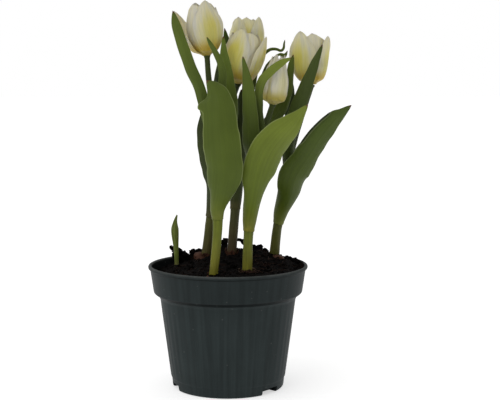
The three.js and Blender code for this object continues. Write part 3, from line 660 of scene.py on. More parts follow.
@dataclass(frozen=True)
class Blade(Finish):
    """A leaf: waxy, with parallel veins, a paler margin, a pale sheath and a dry tip."""

    sheath: Triple = (0.105, 0.132, 0.012)
    lower: Triple = (0.066, 0.095, 0.008)
    upper: Triple = (0.068, 0.097, 0.010)
    inner: Triple = (0.052, 0.085, 0.013)
    margin: Triple = (0.24, 0.28, 0.10)
    ring: Triple = (0.13, 0.145, 0.020)
    tip: Triple = (0.10, 0.028, 0.014)

    def look(self, graph: Graph) -> Look:
        """What each input of the shader gets. The underside of a turned margin lies in its own shade."""
        along, side = graph.mark("along"), graph.mark("side")
        lines, streaks = graph.veins(30.0, 2.6)
        outer = graph.mix(graph.fade(along, 0.3, 0.9), self.lower, self.upper)
        faced = graph.mix(graph.fade(side, -0.05, -0.35), outer, self.inner)
        footed = graph.mix(graph.fade(along, 0.22, 0.0), faced, self.sheath)
        patches = graph.fade(graph.noise(graph.place(), 130.0), 0.35, 0.65, 0.15, 1.0)
        ring = graph.product(graph.fade(along, 0.085, 0.01, 0.0, 0.8), patches)
        tone = graph.product(
            graph.mottle(48.0, 0.2), graph.fade(streaks, 0.0, 1.0, 0.96, 1.04),
            graph.fade(lines, 0.0, 1.0, 0.965, 1.04), graph.fade(side, -1.0, -1.8, 1.0, 0.4),
        )
        rim = graph.fade(graph.math("ABSOLUTE", graph.mark("across")), 0.91, 0.98, 0.0, 0.6)
        edged = graph.mix(rim, graph.shade(graph.mix(ring, footed, self.ring), tone), self.margin)
        relief = graph.math("MULTIPLY_ADD", streaks, 1.2, lines)
        return {
            "Base Color": graph.mix(graph.fade(along, 0.975, 0.995), edged, self.tip),
            "Roughness": graph.fade(graph.noise(graph.place(), 70.0), 0.3, 0.7, 0.44, 0.56),
            "Specular IOR Level": 0.2,
            "Normal": graph.bump(relief, 0.00005),
        }


class Tone(Enum):
    """How much light a leaf's green has, by its place in the clump."""

    BRIGHT = Blade(
        "bright leaf", "leaf_bright", sheath=(0.124, 0.136, 0.012), lower=(0.090, 0.123, 0.0095),
        upper=(0.146, 0.186, 0.022), inner=(0.085, 0.120, 0.020), ring=(0.22, 0.205, 0.022),
    )
    # Painted shade on the sheath and lower blade, with a brighter upper blade.
    SHADED_BELOW = Blade(
        "leaf shaded below", "leaf_dark", sheath=(0.052, 0.061, 0.008), lower=(0.048, 0.070, 0.007),
        upper=(0.165, 0.209, 0.024), inner=(0.080, 0.115, 0.018), ring=(0.10, 0.085, 0.020),
    )
    # Painted light: a brighter copy of the leaf green.
    LIT = Blade(
        "lit leaf", "leaf_dark", sheath=(0.075, 0.088, 0.011), lower=(0.088, 0.126, 0.011),
        upper=(0.108, 0.152, 0.017), inner=(0.068, 0.105, 0.015), margin=(0.19, 0.23, 0.08),
        ring=(0.10, 0.085, 0.020),
    )
    MIDDLE = Blade("leaf", "leaf_green")
    SHADED = Blade(
        "shaded leaf", "leaf_green", sheath=(0.090, 0.112, 0.011), lower=(0.051, 0.076, 0.006),
        upper=(0.054, 0.083, 0.010), inner=(0.042, 0.068, 0.011), margin=(0.16, 0.20, 0.07),
    )
    DEEP = Blade(
        "deep leaf", "leaf_dark", sheath=(0.055, 0.064, 0.009), lower=(0.062, 0.090, 0.008),
        upper=(0.080, 0.112, 0.013), inner=(0.050, 0.080, 0.012), margin=(0.17, 0.20, 0.07),
        ring=(0.10, 0.085, 0.020),
    )
    DUSKY = Blade(
        "dusky leaf", "leaf_dark", sheath=(0.042, 0.050, 0.007), lower=(0.038, 0.058, 0.006),
        upper=(0.045, 0.066, 0.008), inner=(0.034, 0.054, 0.009), margin=(0.13, 0.16, 0.06),
        ring=(0.10, 0.085, 0.020),
    )
    DARK = Blade(
        "dark leaf", "leaf_dark", sheath=(0.034, 0.038, 0.007), lower=(0.028, 0.041, 0.006),
        upper=(0.026, 0.038, 0.006), inner=(0.026, 0.040, 0.008), margin=(0.10, 0.12, 0.05),
        ring=(0.08, 0.07, 0.020),
    )


@dataclass(frozen=True)
class Petal(Finish):
    """A petal: silky cream, with a yellow flame up its middle and an amber foot."""

    cream: Triple = (0.67, 0.61, 0.38)
    flame: Triple = (0.62, 0.545, 0.10)
    veil: Triple = (0.58, 0.545, 0.42)
    amber: Triple = (0.47, 0.31, 0.012)
    green: Triple = (0.36, 0.38, 0.10)
    flame_reach: Pair = (1.02, 0.5)  # where the flame ends, where it is full
    flame_width: float = 0.34

    def look(self, graph: Graph) -> Look:
        """What each input of the shader gets."""
        along, across, tint = graph.mark("along"), graph.mark("across"), graph.mark("tint")
        lines, streaks = graph.veins(22.0, 3.0)
        spread = graph.fade(along, 1.0, 0.0, self.flame_width, self.flame_width * 2.4)
        rim = graph.math("ABSOLUTE", across)
        ragged = graph.math("MULTIPLY_ADD", graph.math("SUBTRACT", streaks, 0.5), 0.28, rim)
        middle = graph.fade(graph.math("DIVIDE", ragged, spread), 1.7, 0.2)
        flame = graph.product(middle, graph.fade(along, *self.flame_reach), tint)
        bands = graph.vector(graph.product(across, 1.5), graph.product(along, 0.8), tint)
        veiled = graph.mix(graph.fade(graph.noise(bands, 1.7), 0.42, 0.62), self.cream, self.veil)
        footed = graph.mix(graph.fade(along, 0.34, 0.12), graph.mix(flame, veiled, self.flame), self.amber)
        rib = graph.product(graph.fade(rim, 0.16, 0.0, 0.0, 0.22), graph.fade(along, 0.7, 0.15))
        ribbed = graph.mix(rib, footed, self.green)
        relief = graph.math("MULTIPLY_ADD", streaks, 2.0, lines)
        return {
            "Base Color": graph.shade(ribbed, graph.fade(lines, 0.0, 1.0, 0.95, 1.03)), "Roughness": 0.5,
            "Subsurface Weight": 0.4, "Subsurface Radius": (0.006, 0.005, 0.003), "Subsurface Scale": 1.0,
            "Sheen Weight": 0.12, "Normal": graph.bump(relief, 0.00014),
        }


@dataclass(frozen=True)
class TwoTone(Finish):
    """A small flower organ that goes from one colour to another along its length."""

    low: Triple
    high: Triple
    change: Pair = (0.42, 0.5)
    roughness: float = 0.6

    def look(self, graph: Graph) -> Look:
        """What each input of the shader gets."""
        colour = graph.mix(graph.fade(graph.mark("along"), *self.change), self.low, self.high)
        return {
            "Base Color": graph.shade(colour, graph.mottle(300.0, 0.3)), "Roughness": self.roughness,
            "Normal": graph.bump(graph.noise(graph.place(), 900.0), 0.0001),
        }


@dataclass(frozen=True)
class Ground(Finish):
    """A plain pale floor."""

    colour: Triple = (0.74, 0.74, 0.74)
    glow: float = 0.54

    def look(self, graph: Graph) -> Look:
        """What each input of the shader gets."""
        return {
            "Base Color": graph.shade(self.colour, graph.mottle(3.0, 0.01)), "Roughness": 0.8,
            "Emission Color": (1.0, 1.0, 1.0), "Emission Strength": self.glow,
        }


# ---- Pot and soil ----


@dataclass(frozen=True)
class Pot:
    """The nursery pot: a tapered body, a deep collar and a rolled lip, moulded in one piece."""

    height: float = 101.0
    wall: float = 1.4
    rim_radius: float = 65.5
    lip_height: float = 3.2
    collar_top_radius: float = 63.9
    collar_foot_radius: float = 61.1
    collar_foot: float = 79.0
    body_top_radius: float = 55.8
    body_top: float = 73.6
    body_foot_radius: float = 47.3
    foot_step: float = 9.2
    foot_step_radius: float = 46.6
    foot_radius: float = 45.8
    drain_width: float = 18.0
    drain_height: float = 4.8
    drain_reach: float = 9.0
    drain_azimuths: tuple[float, ...] = (79.0, 199.0, 319.0)
    segments: int = 288
    body_steps: int = 12
    flutes: int = 48  # faint upright flutes on the body
    flute_depth: float = 0.09
    softening: float = 0.5  # radius of the moulded edges
    drain_softening: float = 1.2
    edge_angle: float = 12.0  # from which an edge is softened
    sharp_angle: float = 35.0  # from which an edge is shaded sharp

    def outside(self) -> list[Pair]:
        """The outer outline from the foot to the lip, as radius and height."""
        foot, step, top, rim = self.foot_radius, self.foot_step, self.body_top_radius, self.rim_radius
        collar, collar_foot, lip = self.collar_foot_radius, self.collar_foot, self.height - self.lip_height
        return [
            (foot - 1.1, 0), (foot, 1.1), (self.foot_step_radius, step - 1.2), (self.body_foot_radius, step),
            (top, self.body_top), (top + 1.5, collar_foot - 2.8), (collar - 1.2, collar_foot - 1.2),
            (collar, collar_foot), (self.collar_top_radius, lip), (rim - 0.5, lip + 0.3), (rim, lip + 1.2),
            (rim, self.height - 0.9), (rim - 0.8, self.height),
        ]

    def inside(self) -> list[Pair]:
        """The inner outline from the lip to the floor, as radius and height."""
        wall, top, body, foot = self.wall, self.collar_top_radius, self.body_top_radius, self.foot_radius
        return [
            (top - 0.6, self.height), (top - wall, self.height - 1),
            (top - wall, self.height - self.lip_height),
            (self.collar_foot_radius - wall, self.collar_foot + 0.6),
            (body + 1.5 - wall, self.collar_foot - 1.6), (body - wall, self.body_top + 0.4),
            (self.body_foot_radius - wall, self.foot_step + 0.4), (foot - 1.1 - wall, wall + 1),
            (foot - 2 - wall, wall),
        ]

    def bore(self, height: float) -> float:
        """The inner radius at a height."""
        rows = self.inside()[::-1]
        for (r0, z0), (r1, z1) in zip(rows, rows[1:]):
            if height <= z1:
                return lerp(r0, r1, (height - z0) / (z1 - z0)) if z1 > z0 else r0
        return rows[-1][0]

    def flute(self, vert: BMVert) -> None:
        """Moves a point of the outer wall in or out to make the flutes."""
        radius, height = hypot(vert.co.x, vert.co.y), vert.co.z
        share = (height - self.foot_step) / (self.body_top - self.foot_step)
        wall = lerp(self.body_foot_radius, self.body_top_radius, share)
        if not 0 < share < 1 or abs(radius - wall) > 0.4:
            return
        fade = smooth(0, 0.12, share) * smooth(1.0, 0.8, share)
        ripple = cos(self.flutes * atan2(vert.co.y, vert.co.x))
        push = 1 + self.flute_depth * fade * ripple / radius
        vert.co.x *= push
        vert.co.y *= push

    def build(self) -> None:
        """Spins the outline, softens its edges, flutes the body and cuts the drain notches."""
        bm = new_mesh()
        outline = [(0.0, 0.0), *self.outside(), *self.inside(), (0.0, self.wall)]
        low, high = (self.body_foot_radius, self.foot_step), (self.body_top_radius, self.body_top)
        shares = [step / self.body_steps for step in range(1, self.body_steps)]
        above = outline.index(low) + 1
        outline[above:above] = [(lerp(low[0], high[0], t), lerp(low[1], high[1], t)) for t in shares]
        chain = [bm.verts.new((radius, 0.0, height)) for radius, height in outline]
        edges = [bm.edges.new(pair) for pair in zip(chain, chain[1:])]
        bmesh.ops.spin(
            bm, geom=chain + edges, cent=(0, 0, 0), axis=(0, 0, 1), angle=tau, steps=self.segments,
            use_merge=True,
        )
        bmesh.ops.remove_doubles(bm, verts=bm.verts, dist=MERGE)
        bmesh.ops.recalc_face_normals(bm, faces=bm.faces)
        rings = [
            edge for edge in bm.edges
            if len(edge.link_faces) == 2 and edge.calc_face_angle() > radians(self.edge_angle)
            and abs(edge.verts[0].co.z - edge.verts[1].co.z) < MERGE
        ]
        bmesh.ops.bevel(
            bm, geom=rings, offset=self.softening, segments=2, profile=0.5, affect="EDGES", material=-1,
            clamp_overlap=True,
        )
        for vert in bm.verts:
            self.flute(vert)
        piece = add_piece("pot_wall", bm, PLASTIC, ("pot",))
        self.cut_drains(piece)
        piece.data.set_sharp_from_angle(angle=radians(self.sharp_angle))

    def cut_drains(self, piece: Object) -> None:
        """Cuts the drain notches out of the foot."""
        bm = bmesh.new()
        for azimuth in self.drain_azimuths:
            block = bmesh.ops.create_cube(bm, size=1.0)["verts"]
            size = (2 * self.drain_reach, self.drain_width, 2 * self.drain_height)
            bmesh.ops.scale(bm, vec=size, verts=block)
            edges = dict.fromkeys(edge for vert in block for edge in vert.link_edges)
            ends = {edge: [vert.co for vert in edge.verts] for edge in edges}
            upper = [e for e, (a, b) in ends.items() if a.z > 0 and b.z > 0 and abs(a.x - b.x) > 1]
            rounded = bmesh.ops.bevel(
                bm, geom=upper, offset=self.drain_softening, segments=4, profile=0.5, affect="EDGES",
                material=-1,
            )
            block = list({v for v in block if v.is_valid} | set(rounded["verts"]))
            bmesh.ops.translate(bm, vec=(self.foot_radius, 0, 0), verts=block)
            turn = Matrix.Rotation(radians(azimuth), 3, "Z")
            bmesh.ops.rotate(bm, cent=(0, 0, 0), matrix=turn, verts=block)
        bmesh.ops.scale(bm, vec=Vector((MM, MM, MM)), verts=bm.verts)
        mesh = bpy.data.meshes.new("drain cutter")
        bm.to_mesh(mesh)
        bm.free()
        cutter = stand("drain cutter", mesh)
        cut = piece.modifiers.new("drains", "BOOLEAN")
        cut.operation, cut.solver, cut.object = "DIFFERENCE", "EXACT", cutter
        bpy.context.view_layer.update()
        done = bpy.data.meshes.new_from_object(piece.evaluated_get(bpy.context.evaluated_depsgraph_get()))
        piece.modifiers.remove(cut)
        piece.data = done
        bpy.data.objects.remove(cutter)


@dataclass(frozen=True)
class Soil:
    """The peat: a plug that fills the pot, heaped behind the middle, with a lumpy surface."""

    level: float = 98.5
    # Heaps are x, y, height and spread.
    heaps: Rows = ((0, 34, 8.5, 26), (38, 28, 3, 16), (-3, 38, 5, 6), (44, 12, 2.4, 13), (26, 38, 2.5, 9))
    left_dip: float = 3.5
    edge: tuple[float, ...] = (97.2, 100, 100, 93)  # front, right, back, left
    grain: float = 1.1  # height of the clumps
    columns: int = 200
    rows: int = 110

    def height(self, x: float, y: float) -> float:
        """The level of the surface, without its grain."""
        heap = 0.0
        for heap_x, heap_y, tall, reach in self.heaps:
            heap += tall * bell(hypot(x - heap_x, y - heap_y), reach * sqrt(2))
        inside = self.level + heap - self.left_dip * smooth(24, 46, -x)
        front, right, back, left = self.edge
        azimuth = atan2(y, x)
        sideways = right if cos(azimuth) > 0 else left
        lengthways = back if sin(azimuth) > 0 else front
        edge = lerp(lengthways, sideways, cos(azimuth) ** 2)
        return lerp(inside, edge, smooth(42, 61, hypot(x, y)))

    def rough(self, x: float, y: float) -> float:
        """The level of the surface with its clumps and crumbs."""
        clumps = noise.voronoi(Vector((x, y, 0)) * 0.19)[0][0]
        crumbs = noise.fractal(Vector((x, y, 3)) * 0.45, 0.7, 2.1, 4)
        hollows = noise.noise(Vector((x, y, 9)) * 0.07)
        return self.height(x, y) + self.grain * (1.3 * (0.45 - clumps) + 0.55 * crumbs + 1.1 * hollows)

    def section_at(self, share: float) -> Section:
        """A ring of the plug: out over the surface, then down the wall and in under the plug."""
        top, wall = 0.86, 0.97

        def section(turn: float) -> Placed:
            """The place at a turn."""
            azimuth = 360 * turn
            x, y = polar(POT.collar_foot_radius - POT.wall, azimuth)
            rim = self.height(x, y)
            if share <= top:
                radius = (POT.bore(rim) - GAP) * sqrt(share / top) ** 1.15
                x, y = polar(radius, azimuth)
                return Placed(Vector((x, y, self.rough(x, y))), turn, share)
            floor = POT.wall + GAP
            if share <= wall:
                z = lerp(rim, floor, (share - top) / (wall - top))
                x, y = polar(POT.bore(max(z, POT.wall + 0.1)) - GAP, azimuth)
                return Placed(Vector((x, y, z)), turn, share)
            x, y = polar((POT.bore(floor) - 2 * GAP) * (1 - share) / (1 - wall), azimuth)
            return Placed(Vector((x, y, floor)), turn, share)

        return section

    def build(self) -> None:
        """Makes the plug."""
        bm = new_mesh()
        loft(bm, self.columns, self.rows, self.section_at, crowd=0.0)
        add_piece("peat", bm, PEAT, ("soil",))


@dataclass(frozen=True)
class Litter:
    """What lies loose on the peat: crumbs, clods and fibres."""

    crumbs: int = 620
    crumb_sizes: Pair = (0.5, 1.9)
    spread: float = 60.0  # how far from the middle crumbs lie
    fibres: int = 70
    fibre_step: float = 2.1
    fibre_edge: float = 59.0  # where a fibre turns back
    tangle: tuple[float, ...] = (19.0, -31.0, 6.5, 26)  # x, y, spread and count of the dry curls round a foot
    clods: tuple[tuple[float, ...], ...] = (  # x, y, size, height above the surface
        (-28, 36, 4.2, 0.6), (-22, 38, 3.6, 1.6), (-7.2, -42, 2.2, 0), (-12, 34, 3.2, 0.4), (-5, 38, 3.4, 2),
        (-3, 41, 3, 3.4), (-34, 33, 2.4, 0.8), (21, 37, 3.6, 1.6), (26, 37, 3.4, 1.4), (31, 38, 3, 1.4),
        (36, 36, 2.6, 0.9), (41, 34, 2.6, 0.4), (48, 27, 2.6, 0.8), (54, 17, 2, 1.2), (57, 8, 1.6, 1.8),
        (52, 22, 1.5, 2.6), (46, -3, 2, 0.2), (-30, -8, 2.4, 0), (4, -10, 2.8, 0.1), (-20, -20, 2.2, 0),
    )
    pile: tuple[tuple[float, ...], ...] = (  # x, y, z, size: clods heaped at the left
        (-48, 27, 110.5, 2.4), (-45.5, 27, 108, 2.6), (-42, 28, 107.8, 3.4), (-38.5, 29, 104.5, 4.0),
        (-41, 29, 101, 5.0), (-35.5, 30, 101.5, 3.5), (-30.3, 30, 106.5, 3.4), (-31, 31, 101.5, 4.0),
        (-26, 31, 107, 2.8), (-24, 31, 104, 3.5), (-46, 26, 104, 2.6), (-44, 28, 100, 4.0),
    )
    root: Rows = (
        (0, 38, 110), (3.5, 37, 114.2), (7, 37, 116), (10.5, 36.6, 115.6), (14, 36.4, 112.9),
        (18, 36.4, 110.2), (22, 36.2, 108), (26, 36, 105),
    )
    ridge: int = 22  # clods heaped along the rim at the right
    ridge_start: float = -12.0
    ridge_step: float = 3.4
    root_radius: float = 1.7

    def lump(self, bm: BMesh, centre: Vector, size: float, draw: random.Random, detail: int) -> None:
        """Adds one rough lump.

        Args:
            bm: the mesh that it is added to.
            centre: its middle.
            size: its mean radius.
            draw: picks its shape.
            detail: how finely it is divided.
        """
        made = bmesh.ops.create_icosphere(bm, subdivisions=detail, radius=1.0)["verts"]
        squash = Matrix.Diagonal((1.0, draw.uniform(0.65, 1.1), draw.uniform(0.5, 0.85)))
        turn = Matrix.Rotation(draw.uniform(0, 6.3), 3, "Z") @ Matrix.Rotation(draw.uniform(0, 6.3), 3, "X")
        shift = Vector((draw.uniform(0, 90), 0, 0))
        for vert in made:
            swell = 1 + 0.45 * noise.noise(vert.co * 1.6 + shift) + 0.18 * noise.noise(vert.co * 4.1 + shift)
            vert.co = centre + turn @ squash @ vert.co * (swell * size)

    def build_crumbs(self, draw: random.Random) -> None:
        """Scatters the crumbs and sets down the clods."""
        bm = new_mesh()
        for _ in range(self.crumbs):
            x, y = polar(self.spread * sqrt(draw.random()), draw.uniform(0, 360))
            size = lerp(*self.crumb_sizes, draw.random() ** 2.2)
            self.lump(bm, Vector((x, y, SOIL.rough(x, y) + 0.25 * size)), size, draw, 1)
        for x, y, size, lift in self.clods:
            self.lump(bm, Vector((x, y, SOIL.height(x, y) + lift)), size, draw, 3)
        for x, y, z, size in self.pile:
            self.lump(bm, Vector((x, y, z)), size, draw, 3)
        for number in range(self.ridge):
            azimuth = self.ridge_start + self.ridge_step * number + draw.uniform(-1.5, 1.5)
            size = draw.uniform(1.3, 2.3)
            x, y = polar(POT.collar_top_radius - POT.wall - size - 0.2, azimuth)
            self.lump(bm, Vector((x, y, POT.height - 0.3 + draw.uniform(-0.4, 0.8))), size, draw, 2)
        add_piece("crumbs", bm, PEAT, soft=False)

    def build_root(self) -> None:
        """Bends the arched piece of old root that stands out of the heap."""
        spline = RowSpline(self.root)

        def section_at(share: float) -> Section:
            """The root's section at a share of its length."""
            distance = spline.length * share
            knots = 1 + 0.4 * noise.noise(Vector((share * 9, 2, 0)))
            radius = self.root_radius * knots * end_cap(share, 0.1, 0.12)
            return bar_section(spline.point(distance), spline.tangent(distance), radius, share, 0.18, 2)

        bm = new_mesh()
        loft(bm, 14, 40, section_at)
        add_piece("old_root", bm, PEAT)

    def build_fibres(self, draw: random.Random) -> None:
        """Lays curled fibres over the surface, most of them at the right."""
        bm = new_mesh()
        tangle_x, tangle_y, reach, count = self.tangle
        for number in range(self.fibres + int(count)):
            is_curl = number >= self.fibres
            azimuth = draw.uniform(-35, 45) if number % 3 else draw.uniform(0, 360)
            x, y = polar(draw.uniform(20, 56), azimuth)
            heading, radius = draw.uniform(0, tau), draw.uniform(0.08, 0.18)
            bend, lift = (1.5, 2.2) if is_curl else (0.9, 1.3)
            if is_curl:
                x, y = tangle_x + draw.gauss(0, reach / 2), tangle_y + draw.gauss(0, reach / 3)
                radius *= 1.6
            rows = []
            for _ in range(6):
                rows.append((x, y, SOIL.rough(x, y) + draw.uniform(0.1, lift)))
                heading += draw.uniform(-bend, bend)
                x, y = x + self.fibre_step * cos(heading), y + self.fibre_step * sin(heading)
                if hypot(x, y) > self.fibre_edge:
                    heading += pi
            spline = RowSpline(rows)

            def section_at(share: float) -> Section:
                """The fibre's section at a share of its length."""
                distance = spline.length * share
                thin, tint = radius * end_cap(share, 0.1, 0.3), number * 0.7
                return bar_section(spline.point(distance), spline.tangent(distance), thin, share, tint=tint)

            loft(bm, 4, 9, section_at, crowd=0.0)
        add_piece("fibres", bm, FIBRE)

    def build(self) -> None:
        """Makes everything that lies on the peat, the same at every run."""
        draw = random.Random(23)
        self.build_crumbs(draw)
        self.build_fibres(draw)
        self.build_root()


# ---- Plants ----


BULB_OUTLINE = Profile(
    (0, 0), (0.04, 0.4), (0.16, 0.8), (0.4, 1), (0.62, 0.97), (0.82, 0.8), (0.95, 0.52), (1, 0)
)


@dataclass(frozen=True)
class Bulb:
    """A tulip bulb: only its nose, in torn papery skins, stands out of the peat."""

    stem: str
    lean: Pair = (0.0, 0.0)  # how far the nose bulges to one side of the stem
    rise: float = 0.0  # how much higher it stands there
    flakes: int = 6
    flake_height: float = 4.0
    flake_curl: Pair = (0.5, 3.0)
    is_dry: bool = False
    radius: float = 11.0
    length: float = 30.0
    nose_out: float = 1.6

    @property
    def nose(self) -> Vector:
        """The middle of the nose."""
        x, y, z = STALKS[self.stem].route[0]
        return Vector((x, y, max(z, SOIL.height(x, y)) + self.nose_out - 1))

    def section_at(self, share: float) -> Section:
        """A ring of the bulb, from its base plate to its nose."""
        radius = self.radius * BULB_OUTLINE(share)
        centre = self.nose + Vector((0, 0, self.length * (share - 1)))
        bulge = bell(share - 0.93, 0.12)
        way = Vector(self.lean)
        lean = Vector((*self.lean, 0)) * bulge

        def section(turn: float) -> Placed:
            """The place at a turn."""
            x, y = polar(radius * (1 + 0.05 * sin(10 * pi * turn)), 360 * turn)
            toward = max(Vector((x, y)).dot(way), 0) / max(radius * way.length, 0.1)
            shift = lean * (0.4 + 0.6 * toward) + Vector((x, y, self.rise * toward * bulge))
            return Placed(centre + shift, turn, share, 1.0, ord(self.stem))

        return section

    def flake(self, bm: BMesh, draw: random.Random) -> None:
        """Adds one torn flake of skin that curls away from the stem."""
        azimuth, height = draw.uniform(0, 360), self.flake_height * draw.uniform(0.5, 1.2)
        width, curl = draw.uniform(25, 60), draw.uniform(*self.flake_curl)
        base = STEM.base_radius + draw.uniform(0.5, 1.2)
        tear = draw.uniform(0, 6)

        def section_at(share: float) -> Section:
            """A section of the flake at a share of its height."""
            thick = 0.18 * end_cap(share, 0.02, 0.05)
            reach = base + curl * share**2 + 0.5
            narrow = width * (1 - 0.65 * share**1.5)

            def section(turn: float) -> Placed:
                """The place at a turn."""
                across, face = sheet_place(turn)
                ragged = 0.5 * noise.noise(Vector((across * 2, share * 3, tear)))
                x, y = polar(reach + ragged + thick * face, azimuth + across * narrow)
                lift = height * share - 1.0 - 0.5 * abs(across) * share
                return Placed(self.nose + Vector((x, y, lift)), across, share, face, tear)

            return section

        loft(bm, 12, 8, section_at)

    def build(self) -> None:
        """Makes the bulb and its flakes."""
        draw = random.Random(ord(self.stem))
        bm = new_mesh()
        loft(bm, 32, 30, self.section_at)
        for _ in range(self.flakes):
            self.flake(bm, draw)
        add_piece(f"bulb_skin_{self.stem}", bm, DRY_TUNIC if self.is_dry else TUNIC, (f"bulb_{self.stem}",))


@dataclass(frozen=True)
class StemSize:
    """The radii that all stems share."""

    base_radius: float = 4.0  # below the first leaf
    node_radius: float = 3.1  # above it
    top_radius: float = 2.2
    receptacle_radius: float = 2.8
    narrowing: Pair = (1.0, 8.0)  # where the thick part ends, above the first leaf


STEM = StemSize()


@dataclass(frozen=True)
class Stalk:
    """A flower's stem, from inside the bulb's nose to the seat of the bloom."""

    name: str
    finish: Finish
    route: Rows
    slimness: float = 1.0  # the foot's radius as a share of the usual one

    @cached_property
    def spline(self) -> RowSpline:
        """The stem's line."""
        return RowSpline(self.route)

    @cached_property
    def nodes(self) -> list[float]:
        """The heights at which its leaves clasp the stem."""
        return [leaf.sheath[0][0] for leaf in LEAVES if leaf.stem == self.name]

    def radius(self, height: float) -> float:
        """The stem's radius at a height."""
        foot, node, seat = self.route[0][2], min(self.nodes), self.route[-1][2]
        low = lerp(STEM.base_radius * self.slimness, STEM.base_radius - 0.15, smooth(foot, node, height))
        share = min(max((height - node) / (seat - node), 0.0), 1.0)
        high = lerp(STEM.node_radius, STEM.top_radius, share)
        start, end = STEM.narrowing
        return lerp(low, high, smooth(node + start, node + end, height))

    def point(self, height: float) -> Vector:
        """The stem's axis at a height."""
        return self.spline.point(self.spline.reach(height))

    def section_at(self, share: float) -> Section:
        """The stem's section at a share of its length."""
        sunk, shoulder = 9.0, 3.0
        distance = lerp(-sunk, self.spline.length, share)
        point, tangent = self.spline.point(distance), self.spline.tangent(distance)
        if distance < 0:
            point = point + Vector((0, 0, distance))
        radius = self.radius(point.z)
        for node in self.nodes:
            radius += 0.12 * bell(point.z - node + 1.0, 1.3)
        left = self.spline.length - distance
        radius += (STEM.receptacle_radius - radius) * smooth(shoulder, 0.4, left)
        radius *= end_cap(share, 0.01, 0.004)
        uneven = 1 + 0.05 * noise.noise(Vector((share * 12, ord(self.name), 0)))
        return bar_section(point, tangent, radius * uneven, share, ribs=0.018, lobes=5, tint=ord(self.name))

    def build(self) -> None:
        """Makes the stem."""
        bm = new_mesh()
        loft(bm, 30, 190, self.section_at, crowd=0.35)
        add_piece(f"stalk_{self.name}", bm, self.finish, (f"stem_{self.name}",))


@dataclass(frozen=True)
class Lobe:
    """A place where a leaf's margin bulges out."""

    side: int  # -1 or 1
    centre: float  # share of the leaf's length
    reach: float
    push: float  # how far out, in millimetres
    fold: float = 0.0  # how far towards the outer face


@dataclass(frozen=True)
class Hem:
    """A stretch of margin that turns back over the outer face."""

    side: int  # -1 or 1
    start: float  # shares of the leaf's length
    end: float
    width: float
    roll: float = 0.7  # radius of the fold


